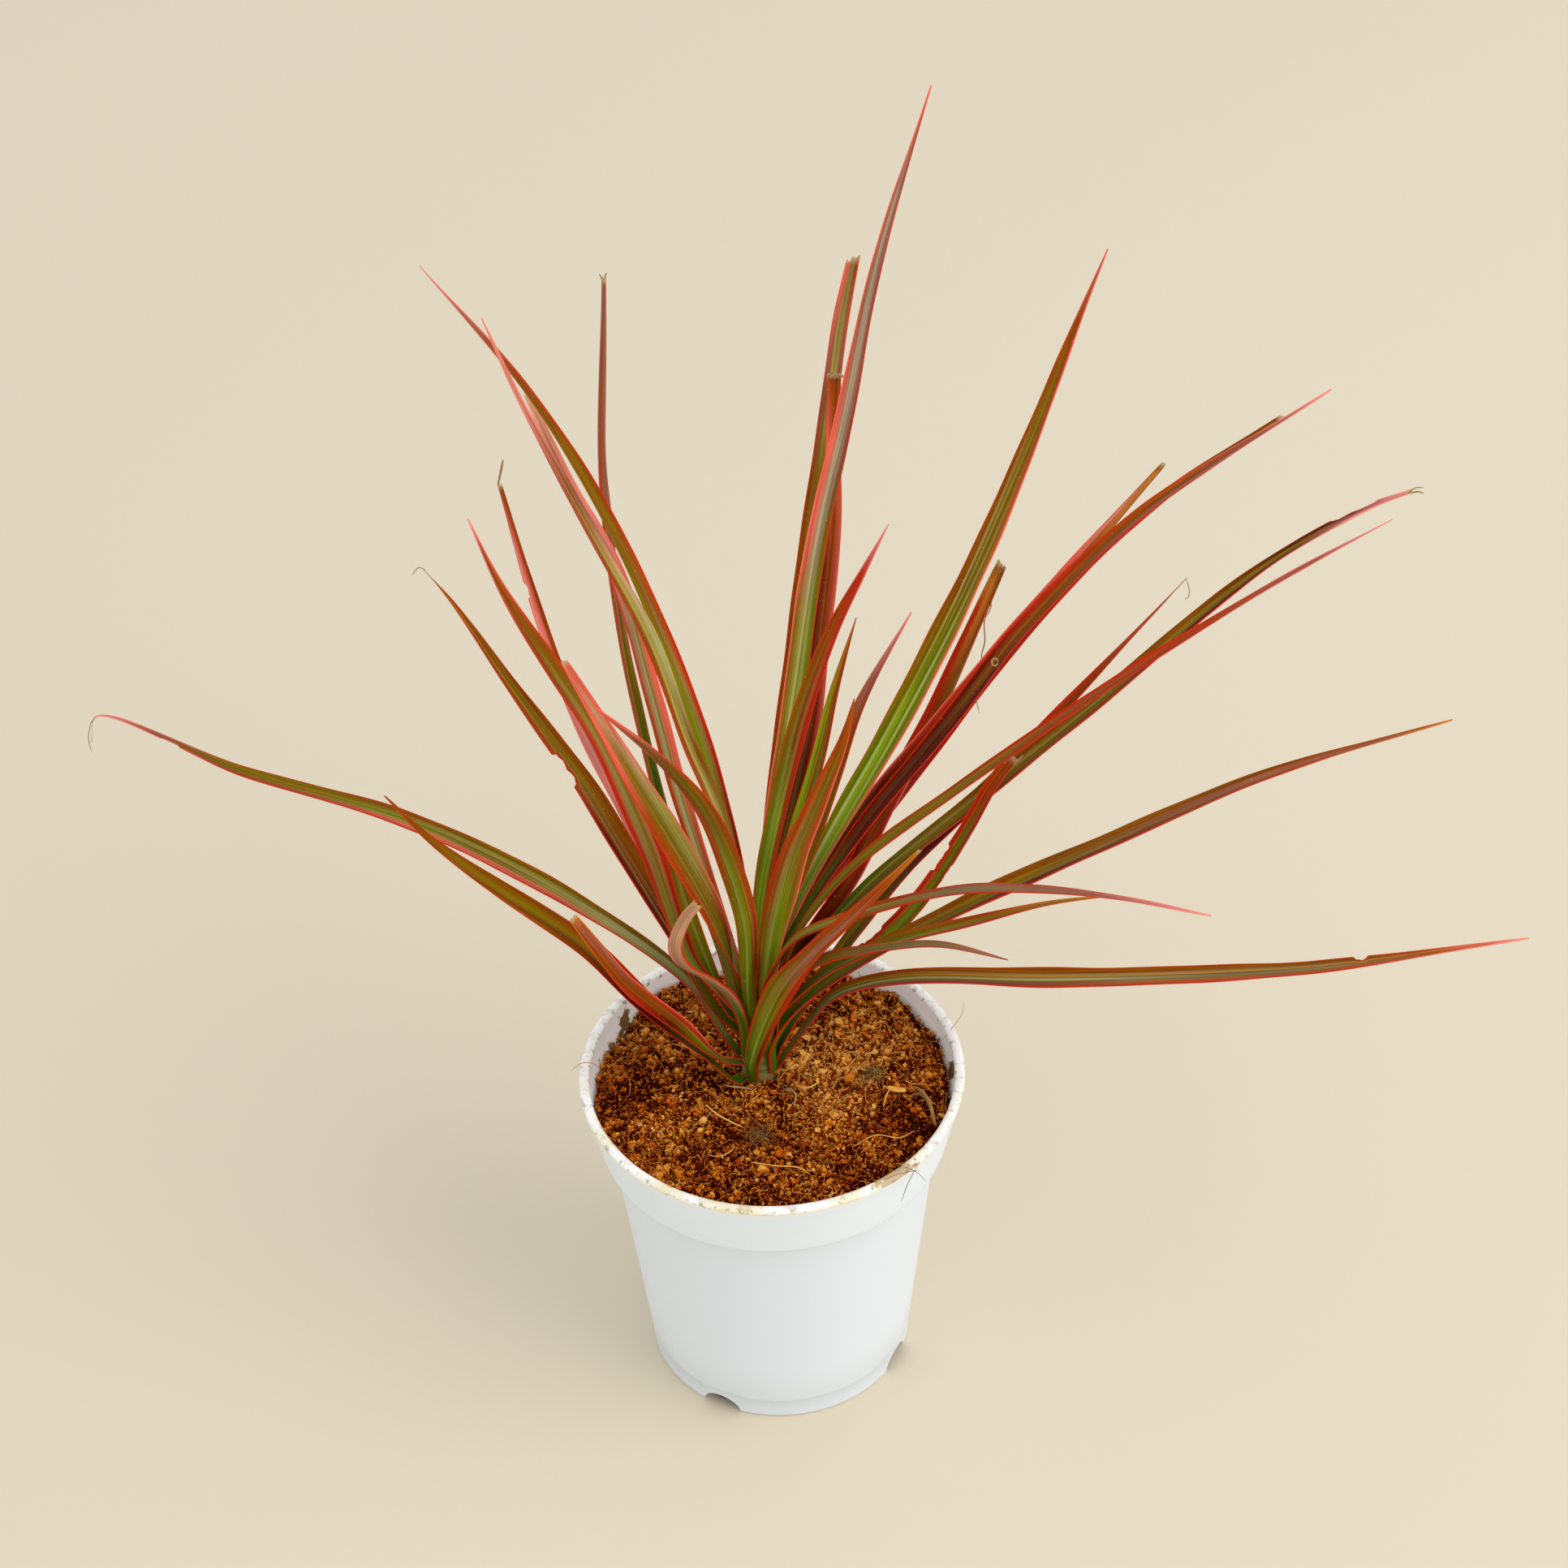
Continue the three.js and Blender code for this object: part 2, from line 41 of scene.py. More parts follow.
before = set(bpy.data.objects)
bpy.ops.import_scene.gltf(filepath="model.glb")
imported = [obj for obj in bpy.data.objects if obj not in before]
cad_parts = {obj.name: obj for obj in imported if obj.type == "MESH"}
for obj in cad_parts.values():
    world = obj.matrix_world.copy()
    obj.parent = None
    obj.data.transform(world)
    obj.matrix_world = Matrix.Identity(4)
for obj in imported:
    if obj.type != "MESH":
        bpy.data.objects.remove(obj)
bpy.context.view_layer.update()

MM = 0.001
BODY = "root"

# The pot, as its solid has it, apart from the bead, which is slimmer than the solid's lip.
POT_HEIGHT = 97.0
RIM_RADIUS = 50.0
RIM_LIP_HEIGHT = 4.0
RIM_LIP_WIDTH = 2.6
RIM_BEAD_HEIGHT = 1.7
RIM_CROWN = 0.9
RIM_NECK = 0.5
COLLAR_TOP_RADIUS = 48.6
COLLAR_BOTTOM_RADIUS = 45.9
COLLAR_BOTTOM = 77.6
COLLAR_ROUND = 0.5
WALL_TOP_RADIUS = 43.1
FOOT_LINE = 7.0
FOOT_STEP = 0.4
FOOT_ROUND = 0.8
BASE_RADIUS = 35.5
WALL = 1.3
FLOOR = 1.6
POT_SEGMENTS = 192
NOTCH_COUNT = 4
NOTCH_HEADING = -118.0
NOTCH_WIDTH = 11.0
NOTCH_HEIGHT = 4.5
NOTCH_DEPTH = 6.0

# Dirt on the pot: places as (right, back, up, radius), and the cone inside the collar's wall, as its
# radius at the foot and its slope, that parts the inner from the outer face.
CAKED_SPOT = (30.5, -39.5, 97.2, 6.0)
SMEARED_SPOTS = ((-39.5, 26.5, 90.5, 3.2), (-43.7, 9.0, 91.5, 2.0), (47.0, 3.0, 91.5, 2.8))
PARTING_CONE = (19.0, 0.3225)

# The potting mix. The sunk spot is (right, back, radius, depth).
MIX_TOP = 92.0
MIX_EDGE_DROP = 1.5
MIX_LUMP = 0.9
MIX_BOTTOM = 1.9
MIX_GAP = 0.6
SUNK_SPOT = (-39, 20, 9, 3.0)
BED_SEGMENTS = 300
BED_RINGS = 80
CLUMPS = 700
CRUMB_RADIUS = 0.4
GRAIN_RADIUS = 0.24
LARGEST_CRUMB = 0.95
FIBRE_STEPS = 8

# Damper and drier spots of the mix, as (right, back, radius, change of tone).
TONE_SPOTS = ((33, -19, 8, -0.36), (44, 6, 7, -0.1), (22, 15, 12, 0.22), (10, 6, 9, 0.24),
              (14, -8, 11, 0.12), (2, -24, 8, -0.18), (-11, -22, 8, -0.22), (-20, 9, 9, -0.04),
              (-36, -8, 8, -0.24), (17, -33, 6, -0.16), (9, -35, 6, 0.1), (-25, -22, 9, 0.06),
              (-21, -12, 5, 0.06))

# Where the grey-green film lies on the mix, as (right, back, radius), and how much of it there is.
FILM_SPOTS = ((26, 1, 4.6), (-3.5, -19, 5.0))
FILM_STRENGTH = 0.65

# The cane.
CANE = np.array([-3.5, 3.5])
CANE_BOTTOM = 56.0
CANE_RADIUS = 4.2
CANE_FOOT_RADIUS = 3.4
CANE_TAPER_START = 100.0
CANE_TOP = 136.0
CANE_TOP_RADIUS = 1.1
SCAR_SPACING = 2.6
SCAR_HEIGHT = 0.12
SEAT_GAP = 0.6

# The leaves. Shares are of a leaf's length.
LEAF_ROWS = 111
LEAF_COLUMNS = 13
LEAF_ROOT_WIDTH = 3.4
LEAF_TIP_WIDTH = 0.25
LEAF_LEAST_HALF = 0.1
LEAF_WIDEST_AT = 0.42
LEAF_TAPER = 1.6
LEAF_CHANNEL = 0.25
CHANNEL_ROUND = 0.2
TURN_FROM_CANE = 0.3
ROLLED_AT = 0.5
MARGIN_WAVE = 0.12
EDGE_UNEVEN = 0.04
BITE_EDGE = 0.006
BITE_TEETH = 900
BITE_TOOTH = 0.25
BITE_ROWS = (-0.004, -0.002, 0.0, 0.002, 0.004, 0.006)
TORN_LENGTH = 1.5
THREAD_TURN = 0.01
VEINS_PER_MM = 1.7
STRIPES_PER_MM = 1.0

# The camera, worked out from the pot's rim, collar and foot in the picture.
IMAGE_SIDE = 1932
FOCAL_PIXELS = 4000.0
CAMERA_PITCH = 40.03
CAMERA_ROLL = -1.82
CAMERA_TARGET = np.array([5.5, 0.0, 193.2])
CAMERA_DISTANCE = 780.0
SENSOR = 36.0

# The studio, in metres. Colours are linear.
FLOOR_REACH = 12.0
SKY_COLOUR = (0.91, 0.96, 1.04, 1)
SKY_STRENGTH = 0.98
SOFTBOX_COLOUR = (1.0, 0.985, 1.0)
SOFTBOX_WIDTH = 2.0
SOFTBOX_POWER = 20.0
SOFTBOX_PLACE = np.array([1.5, -0.7, 1.5])
SOFTBOX_TARGET = np.array([0, 0, 0.12])

# One row for each leaf, in mm and degrees. root is the heading round the cane and the height. spine
# is what the middle line passes, as (right, back, up). The rest shapes the blade as in its solid:
# faces is the heading that the blade lies square to, where it isn't the tip's; roll turns it on its
# middle line; keep is the share of the grown length that is left and rake the slant of that cut;
# channel is how deep it is folded and taper how late it narrows; thread is the share at which it has
# dried to a thread; a bite is (side, from, to, depth), 1 for the left edge.
# shades are colours at shares of the length: one for the blade, two for its left side and the rest,
# or three for left, middle and right.
# edge is the width of the left and right margins in mm, margin their colours, cream the strength of
# the pale stripes and rib the place across of a thin orange vein.
LEAVES = {
    "leaf_left_1": dict(
        root=(171, 98), width=6.4, thread=0.96,
        spine=[(-13, 5, 107), (-20, 8, 120), (-34, 13, 132), (-61, 24, 145), (-92, 37, 154),
               (-134, 50, 161), (-173, 65, 169), (-175, 63, 162)],
        bites=[(1, 0.84, 0.87, 0.6)],
        shades=[(0, "base"), (0.05, "sage"), (0.09, "sage cream sage"), (0.22, "sage cream olive"),
                (0.32, "salmon sage olive"), (0.42, "salmon olive olive"), (0.55, "salmon green brown"),
                (0.66, "rust olive olive"), (0.78, "brown olive olive"), (0.85, "rust brown mauve"),
                (0.94, "red mauve pink"), (1, "pink")],
        edge=(0.4, 0.25), cream=0.3, margin="red red"),
    "leaf_left_2": dict(
        root=(165, 106), width=6.6, thread=0.96,
        spine=[(-15, 6, 115), (-23, 11, 134), (-35, 25, 150), (-46, 39, 163), (-63, 58, 179),
               (-79, 76, 195), (-86, 83, 200)],
        bites=[(1, 0.53, 0.6, 1.6)],
        shades=[(0, "base"), (0.1, "olive"), (0.25, "crimson crimson brown"),
                (0.42, "crimson brown brown"), (0.55, "rust olive brown"), (0.75, "brown olive brown"),
                (0.9, "rust brown rust"), (1, "rust")],
        edge=(0.3, 0.2), cream=0.1, margin="red red", rib=0.35),
    "leaf_left_3": dict(
        root=(148, 109), width=4, keep=0.9, channel=0.6,
        spine=[(-14, 11, 118), (-25, 19, 137), (-36, 37, 155), (-46, 54, 168), (-54, 70, 182),
               (-60, 85, 196), (-66, 101, 213)],
        bites=[(1, 0.8, 0.83, 0.8)],
        shades=[(0, "base"), (0.12, "crimson"), (0.25, "pink pink crimson"), (0.6, "pink pink rust"),
                (0.9, "pink salmon rust"), (0.97, "salmon rust rust"), (1, "brown")],
        edge=(0.15, 0.15), cream=0.1, margin="salmon red"),
    "leaf_left_4": dict(
        root=(138, 113), width=5, keep=0.88,
        spine=[(-8, 11, 121), (-15, 25, 141), (-21, 40, 155), (-28, 60, 176), (-36, 80, 199),
               (-48, 97, 217), (-58, 113, 233)],
        shades=[(0, "sage"), (0.1, "sage cream sage"), (0.2, "red cream rust"),
                (0.4, "rust grey salmon"), (0.6, "mauve grey salmon"), (0.75, "pink mauve pink"),
                (0.9, "pink mauve pink"), (1, "blush")],
        edge=(0.25, 0.5), cream=0.4, margin="red salmon", rib=-0.3),
    "leaf_left_5": dict(
        root=(133, 103), width=4.2, roll=52, keep=0.85, channel=0.7,
        spine=[(-9, 12, 113), (-15, 24, 129), (-25, 39, 144), (-30, 53, 158), (-36, 76, 180),
               (-40, 107, 210), (-38, 144, 248)],
        shades=[(0, "sage"), (0.2, "green"), (0.35, "brown olive base"), (0.5, "brown olive olive"),
                (0.65, "rust brown mauve"), (0.8, "mauve brown mauve"), (1, "mauve")],
        edge=(0.2, 0.2), cream=0.2, margin="red mauve"),
    "leaf_left_6": dict(
        root=(175, 111), width=4.2,
        spine=[(-10, 4, 113), (-15, 8, 125), (-21, 18, 140), (-24, 25, 150), (-29, 34, 161),
               (-33, 43, 168)],
        shades=[(0, "base"), (0.5, "olive"), (1, "brown")],
        edge=(0.25, 0.25), cream=0.3),
    "leaf_left_7": dict(
        root=(195, 113), width=7.8,
        spine=[(-13, 2, 123), (-20, 4, 134), (-29, 12, 165), (-40, 23, 191), (-51, 32, 207),
               (-62, 41, 224), (-69, 48, 240)],
        shades=[(0, "base"), (0.15, "green green crimson"), (0.35, "red olive red"),
                (0.55, "red olive rust"), (0.7, "brown olive brown"), (0.85, "rust brown rust"),
                (0.95, "rust"), (1, "pink")],
        edge=(0.4, 0.5), cream=0.3),
    "leaf_left_8": dict(
        root=(125, 124), width=4.4,
        spine=[(-6, 14, 138), (-11, 20, 167), (-18, 26, 186), (-26, 36, 210), (-41, 48, 239),
               (-55, 60, 266), (-63, 68, 284)],
        shades=[(0, "sage"), (0.12, "sage cream sage"), (0.35, "rust sage brown"),
                (0.5, "brown sage cream"), (0.62, "brown sage blush"), (0.75, "mauve brown mauve"),
                (0.88, "pink mauve pink"), (1, "pink")],
        edge=(0.2, 0.15), cream=0.3, margin="red rust", rib=0.1),
    "leaf_left_9": dict(
        root=(95, 116), width=4.4,
        spine=[(-5, 16, 130), (-8, 24, 152), (-12, 30, 171), (-20, 42, 195), (-35, 61, 227),
               (-54, 79, 255), (-80, 98, 281)],
        shades=[(0, "green"), (0.2, "green green crimson"), (0.4, "green olive red"),
                (0.52, "olive brown rust"), (0.7, "brown olive brown"), (0.85, "rust"), (0.93, "mauve"),
                (1, "pink")],
        edge=(0.15, 0.45), cream=0.2, margin="olive red"),
    "leaf_front_1": dict(
        root=(212, 93.3), width=6, roll=-42,
        spine=[(-10, -3, 96), (-19, -3, 108), (-31, -4, 125), (-46, -2, 145), (-65, -2, 164),
               (-80, 0, 178), (-91, 3, 191)],
        shades=[(0, "base"), (0.1, "base"), (0.25, "crimson olive rust"), (0.4, "crimson brown red"),
                (0.6, "brown olive brown"), (0.8, "brown olive brown"), (0.93, "rust brown rust"),
                (1, "rust")],
        edge=(0.2, 0.15), cream=0.1, margin="red red"),
    "leaf_front_2": dict(
        root=(224, 99), width=4.4, roll=-60, keep=0.8,
        spine=[(-13, -4, 105), (-23, -7, 121), (-35, -11, 139), (-42, -12, 153), (-47, -12, 163)],
        shades=[(0, "base"), (0.2, "olive green red"), (0.4, "crimson brown red"),
                (0.6, "red brown rust"), (0.8, "brown rust mauve"), (0.95, "rust mauve rust"),
                (1, "orange")],
        edge=(0.2, 0.3), cream=0.1, margin="red salmon"),
    "leaf_front_3": dict(
        root=(230, 102), width=4.6, keep=0.8,
        spine=[(-7, -1, 114), (-10, -4, 127), (-15, -10, 139), (-21, -16, 150), (-22, -20, 161),
               (-19, -21, 170), (-16, -22, 175)],
        shades=[(0, "base"), (0.2, "green base red"), (0.34, "blush grey red"),
                (0.6, "blush mauve pink"), (0.85, "blush"), (1, "blush")],
        edge=(0.3, 0.4), cream=0.2),
    "leaf_front_4": dict(
        root=(215, 119), width=7.2, roll=-40, keep=0.93,
        spine=[(-7, 3, 121), (-12, 1, 147), (-19, 2, 166), (-29, 5, 188), (-38, 10, 206),
               (-46, 16, 220)],
        shades=[(0, "base"), (0.15, "green green crimson"), (0.3, "rust olive rust"),
                (0.45, "rust olive sage"), (0.6, "rust olive sage"), (0.75, "salmon olive blush"),
                (0.88, "salmon blush salmon"), (1, "salmon")],
        edge=(0.35, 0.45), cream=0.3, margin="red salmon"),
    "leaf_front_5": dict(
        root=(250, 113), width=6, faces=-90,
        spine=[(-5, -2, 128), (-5, -3, 151), (-9, -2, 172), (-15, -3, 191), (-25, -3, 206),
               (-38, -2, 220)],
        shades=[(0, "green"), (0.2, "crimson green green"), (0.4, "rust green olive"),
                (0.5, "brown green rust"), (0.6, "brown olive rust"), (0.75, "brown olive brown"),
                (0.88, "mauve brown mauve"), (1, "salmon")],
        edge=(0.2, 0.2), cream=0.2, margin="red red"),
    "leaf_front_6": dict(
        root=(-75, 118.5), width=7.4, faces=-90,
        spine=[(-1, -1, 126), (2, 0, 146), (7, 1, 168), (14, 3, 186), (20, 7, 200), (23, 11, 210)],
        shades=[(0, "green"), (0.15, "lime green green"), (0.4, "olive green rust"),
                (0.6, "rust olive rust"), (0.8, "rust olive rust"), (0.92, "rust"), (1, "rust")],
        edge=(0.5, 0.25), cream=0.2, margin="salmon red"),
    "leaf_front_7": dict(
        root=(-108, 94), width=7.8, faces=-90, keep=0.93, taper=0.7,
        spine=[(-5, -5, 104), (-2, -6, 117), (4, -8, 134), (12, -9, 147), (23, -8, 159), (38, -6, 176)],
        shades=[(0, "base"), (0.15, "crimson green base"), (0.3, "rust green olive"),
                (0.42, "red olive olive"), (0.55, "rust mauve brown"), (0.7, "rust mauve rust"),
                (0.85, "rust"), (1, "orange")],
        edge=(0.4, 0.3), cream=0.2, margin="red red"),
    "leaf_back_1": dict(
        root=(80, 103), width=5.4, keep=0.72, rake=-1.2,
        spine=[(-1, 22, 130), (2, 39, 147), (7, 60, 169), (13, 84, 195), (19, 108, 220), (24, 126, 243),
               (28, 137, 256)],
        shades=[(0, "green"), (0.2, "brown green rust"), (0.45, "brown olive brown"),
                (0.6, "brown olive brown"), (0.72, "brown olive brown"), (0.85, "mauve sage mauve"),
                (1, "salmon grey rust")],
        edge=(0.3, 0.3), cream=0.4, margin="red red"),
    "leaf_back_2": dict(
        root=(88, 122), width=5.9,
        spine=[(-1, 16, 136), (3, 32, 158), (9, 50, 182), (16, 73, 213), (24, 91, 238), (33, 113, 268),
               (48, 139, 304)],
        shades=[(0, "green"), (0.2, "olive lime green"), (0.4, "olive sage green"),
                # The silver in the middle of this blade is a painted sheen.
                (0.5, "salmon silver olive"), (0.6, "salmon silver mauve"),
                (0.75, "mauve silver mauve"), (0.88, "mauve silver mauve"), (0.95, "pink mauve rust"),
                (1, "salmon")],
        edge=(0.4, 0.3), cream=0.5, margin="salmon red"),
    "leaf_back_3": dict(
        root=(97, 108), width=5, keep=0.7, channel=0.6,
        spine=[(1, 20, 132), (8, 35, 155), (13, 48, 171), (16, 63, 185), (20, 83, 206), (21, 98, 221),
               (22, 113, 236)],
        shades=[(0, "green"), (0.4, "crimson crimson red"), (0.7, "crimson rust salmon"),
                (0.88, "salmon rust orange"), (1, "rust")],
        edge=(0.2, 1.0), cream=0.1, margin="red salmon"),
    "leaf_back_4": dict(
        root=(75, 131), width=6,
        spine=[(-1, 15, 145), (2, 19, 159), (6, 25, 174), (11, 31, 191), (19, 39, 210), (26, 44, 222),
               (33, 50, 233)],
        shades=[(0, "green"), (0.3, "green lime rust"), (0.5, "olive brown red"),
                (0.7, "brown rust red"), (0.88, "red"), (1, "pink")],
        edge=(0.3, 0.4), cream=0.2),
    "leaf_back_5": dict(
        root=(60, 126), width=4.6,
        spine=[(2, 15, 139), (6, 21, 150), (11, 30, 162), (15, 37, 173), (19, 45, 186), (25, 55, 201)],
        shades=[(0, "lime"), (0.5, "lime olive olive"), (0.75, "lime olive rust"), (1, "rust")],
        edge=(0.2, 0.3), cream=0.2, rib=0.2),
    "leaf_back_6": dict(
        root=(-5, 128), width=4.6,
        spine=[(1, 6, 131), (6, 11, 146), (12, 17, 159), (19, 24, 177), (25, 30, 193), (38, 38, 215)],
        shades=[(0, "green"), (0.4, "olive brown olive"), (0.65, "brown rust brown"), (0.8, "mauve"),
                (1, "pink")],
        edge=(0.25, 0.25), cream=0.1),
    "leaf_right_1": dict(
        root=(22, 121), width=7.4,
        spine=[(1, 6, 125), (7, 15, 139), (18, 25, 156), (32, 41, 172), (52, 68, 195), (71, 98, 221),
               (85, 122, 243), (94, 136, 257)],
        shades=[(0, "lime"), (0.15, "green lime lime"), (0.32, "green lime green"),
                (0.42, "olive green green"), (0.55, "brown olive olive"), (0.68, "brown olive rust"),
                (0.8, "brown olive rust"), (0.9, "rust brown red"), (1, "salmon")],
        edge=(0.2, 0.5), cream=0.9, margin="red salmon"),
    "leaf_right_2": dict(
        root=(47, 108.5), width=5.8, keep=0.8, rake=0.8,
        spine=[(4, 13, 119), (13, 17, 131), (22, 25, 140), (31, 37, 152), (44, 55, 167), (54, 70, 180),
               (64, 85, 194)],
        shades=[(0, "base"), (0.2, "crimson"), (0.35, "crimson rust red"), (0.55, "red rust red"),
                (0.75, "red rust olive"), (0.9, "red orange rust"), (0.96, "orange orange brown"),
                (1, "brown")],
        edge=(0.35, 0.35), cream=0.05, margin="red salmon"),
    "leaf_right_3": dict(
        root=(42, 117), width=6.2, keep=0.92,
        spine=[(1, 8, 123), (8, 16, 135), (21, 28, 151), (44, 48, 168), (65, 67, 183), (85, 84, 197),
               (107, 101, 213)],
        shades=[(0, "base"), (0.15, "base crimson"), (0.35, "crimson"), (0.5, "red rust crimson"),
                (0.65, "red rust brown"), (0.8, "salmon rust rust"), (0.9, "pink orange orange"),
                (0.98, "orange"), (1, "brown")],
        edge=(0.5, 0.2), cream=0.05, margin="salmon red"),
    "leaf_right_4": dict(
        root=(-4, 123), width=5.6,
        spine=[(2, 4, 130), (9, 9, 142), (24, 22, 158), (47, 38, 179), (68, 53, 199), (96, 69, 219),
               (146, 88, 243)],
        shades=[(0, "base"), (0.1, "base base crimson"), (0.22, "crimson"), (0.36, "crimson"),
                (0.46, "crimson brown crimson"), (0.6, "red brown brown"), (0.75, "rust brown mauve"),
                (0.9, "rust mauve mauve"), (1, "pink")],
        edge=(0.35, 0.25), cream=0.05, margin="red red"),
    "leaf_right_5": dict(
        root=(60, 113), width=5.6, keep=0.96,
        spine=[(2, 11, 121), (12, 23, 135), (31, 40, 149), (55, 62, 169), (79, 82, 187),
               (109, 100, 205), (139, 114, 218)],
        shades=[(0, "base"), (0.15, "crimson"), (0.4, "crimson crimson red"),
                (0.55, "brown crimson red"), (0.7, "brown rust red"), (1, "brown")],
        edge=(0.2, 0.9), cream=0.05),
    "leaf_right_6": dict(
        root=(36, 101.5), width=4.8, thread=0.96,
        spine=[(3, 6, 107), (14, 14, 117), (24, 20, 128), (36, 29, 139), (59, 44, 154), (84, 63, 170),
               (112, 82, 190)],
        shades=[(0, "base"), (0.25, "olive"), (0.4, "red crimson crimson"), (0.6, "red brown crimson"),
                (0.8, "red brown red"), (0.93, "salmon rust salmon"), (1, "mauve")],
        edge=(0.35, 0.25), cream=0.1),
    "leaf_right_7": dict(
        root=(6, 103), width=5.2, keep=0.9,
        spine=[(4, 6, 121), (11, 11, 128), (27, 19, 143), (53, 35, 155), (83, 52, 170), (132, 81, 194),
               (159, 91, 204), (171, 95, 206)],
        bites=[(1, 0.9, 0.96, 0.5)],
        shades=[(0, "base"), (0.2, "base olive base"), (0.4, "brown olive brown"),
                (0.55, "brown olive brown"), (0.7, "brown olive crimson"),
                (0.85, "crimson olive crimson"), (0.93, "crimson mauve pink"), (1, "pink")],
        edge=(0.2, 0.3), cream=0.25, margin="brown red"),
    "leaf_right_8": dict(
        root=(-13, 118), width=3.6,
        spine=[(3, 2, 127), (8, 3, 142), (21, 11, 155), (48, 17, 175), (84, 26, 198), (125, 37, 220),
               (155, 44, 234)],
        shades=[(0, "base"), (0.25, "olive"), (0.4, "brown olive brown"), (0.55, "red brown red"),
                (0.75, "red rust red"), (0.9, "mauve"), (1, "pink")],
        edge=(0.3, 0.2), cream=0.1),
    "leaf_right_9": dict(
        root=(8, 96.5), width=5.4, keep=0.72,
        spine=[(3, 3, 104), (13, 7, 120), (29, 10, 132), (40, 14, 143), (51, 25, 154), (58, 34, 161),
               (64, 39, 167)],
        bites=[(1, 0.4, 0.47, 0.5), (1, 0.66, 0.74, 0.7), (-1, 0.62, 0.7, 0.5)],
        shades=[(0, "base"), (0.3, "green"), (0.45, "red lime green"), (0.6, "red green olive"),
                (0.75, "red green rust"), (0.88, "red rust red"), (1, "rust")],
        edge=(0.4, 0.2), cream=0.1, margin="red red"),
    "leaf_right_10": dict(
        root=(-34, 95.5), width=6,
        spine=[(1, -1, 107), (8, -1, 120), (23, 2, 132), (49, 10, 142), (85, 27, 146), (130, 44, 154),
               (180, 57, 160)],
        shades=[(0, "base"), (0.15, "green olive brown"), (0.3, "brown olive brown"),
                (0.45, "brown olive crimson"), (0.7, "brown mauve brown"), (0.9, "rust mauve rust"),
                (1, "orange")],
        edge=(0.12, 0.3), cream=0.1, margin="brown red"),
    "leaf_right_11": dict(
        root=(-67, 110), width=4,
        spine=[(1, -4, 135), (7, -3, 145), (23, -2, 152), (47, -9, 165), (66, -15, 170), (85, -20, 171),
               (107, -23, 167)],
        shades=[(0, "green"), (0.3, "olive"), (0.45, "rust olive rust"), (0.6, "mauve grey mauve"),
                (0.8, "mauve"), (1, "pink")],
        edge=(0.3, 0.3), cream=0.2),
    "leaf_right_12": dict(
        root=(-18, 109.5), width=4.4,
        spine=[(3, 0, 117), (15, -1, 132), (31, -2, 142), (51, -5, 151), (69, -7, 158), (85, -9, 162)],
        shades=[(0, "base"), (0.4, "olive green olive"), (0.7, "rust olive rust"),
                (0.9, "orange olive orange"), (1, "orange")],
        edge=(0.25, 0.3), cream=0.2),
    "leaf_right_13": dict(
        root=(-58, 103), width=4.2,
        spine=[(1, -4, 118), (6, -3, 129), (13, -5, 139), (31, -10, 148), (43, -13, 151),
               (59, -17, 149)],
        shades=[(0, "base"), (0.3, "brown"), (0.5, "brown olive brown"), (0.75, "grey"), (1, "mauve")],
        edge=(0.25, 0.25), cream=0.2),
    "leaf_right_14": dict(
        root=(0, 94), width=7.2,
        spine=[(5, 4, 100), (11, 5, 110), (17, 6, 117), (32, 8, 120), (74, 10, 116), (137, 14, 113),
               (198, 20, 116)],
        bites=[(1, 0.78, 0.8, 1)],
        shades=[(0, "base"), (0.12, "brown base brown"), (0.25, "brown olive crimson"),
                (0.5, "brown grey rust"), (0.75, "brown grey rust"), (0.88, "rust brown rust"),
                (0.95, "salmon"), (1, "pink")],
        edge=(0.25, 0.5), cream=0.4, margin="red red", rib=0.3),
}


def linear(hex_colour):
    """An sRGB hex colour as linear red, green, blue and an alpha of 1."""
    parts = np.array([int(hex_colour[i:i + 2], 16) for i in (1, 3, 5)]) / 255
    low = parts / 12.92
    high = ((parts + 0.055) / 1.055) ** 2.4
    return tuple(np.where(parts <= 0.04045, low, high)) + (1.0,)


def smooth(value, low, high):
    """0 below low, 1 above high, and 3t squared less 2t cubed between."""
    t = np.clip((value - low) / (high - low), 0, 1)
    return t * t * (3 - 2 * t)


def colour_choice(name, description, default):
    """A colour that the user can change, with its default in sRGB hex."""
    return bpy.props.FloatVectorProperty(
        name=name, description=description, subtype="COLOR", size=4, min=0, max=1,
        default=linear(default))


class LeafColours(bpy.types.PropertyGroup):
    """The colours that the leaves run through"""

    base: colour_choice("Base", "Leaf foot in the crown's shade", "#46700a")
    green: colour_choice("Green", "Blade, lower half", "#76860a")
    lime: colour_choice("Lime", "Young blade with light on it", "#93b01c")
    sage: colour_choice("Sage", "Pale green back of a blade", "#a89c44")
    olive: colour_choice("Olive", "Blade, middle", "#866a04")
    brown: colour_choice("Brown", "Blade, outer half", "#8e4c04")
    rust: colour_choice("Rust", "Blade that turns red", "#ae4a0c")
    crimson: colour_choice("Crimson", "Dark red side in the shade", "#600b03")
    red: colour_choice("Red", "Margin", "#c62a10")
    salmon: colour_choice("Salmon", "Margin in full light", "#ee664e")
    pink: colour_choice("Pink", "Pale margin and tip", "#f48e80")
    orange: colour_choice("Orange", "Cut tip", "#cf7a28")
    mauve: colour_choice("Mauve", "Dull red bloom", "#a4604a")
    grey: colour_choice("Grey", "Blade with a dull bloom", "#8a7a48")
    # Silver is a painted sheen: the waxy shine of the tallest blade, painted into its colour.
    silver: colour_choice("Silver", "Waxy shine on the tallest blade", "#b89e80")
    blush: colour_choice("Blush", "Pale pinkish back of a blade", "#cf9870")
    cream: colour_choice("Cream", "Pale stripes", "#c2c278")
    tan: colour_choice("Tan", "Dried tissue", "#c0a070")


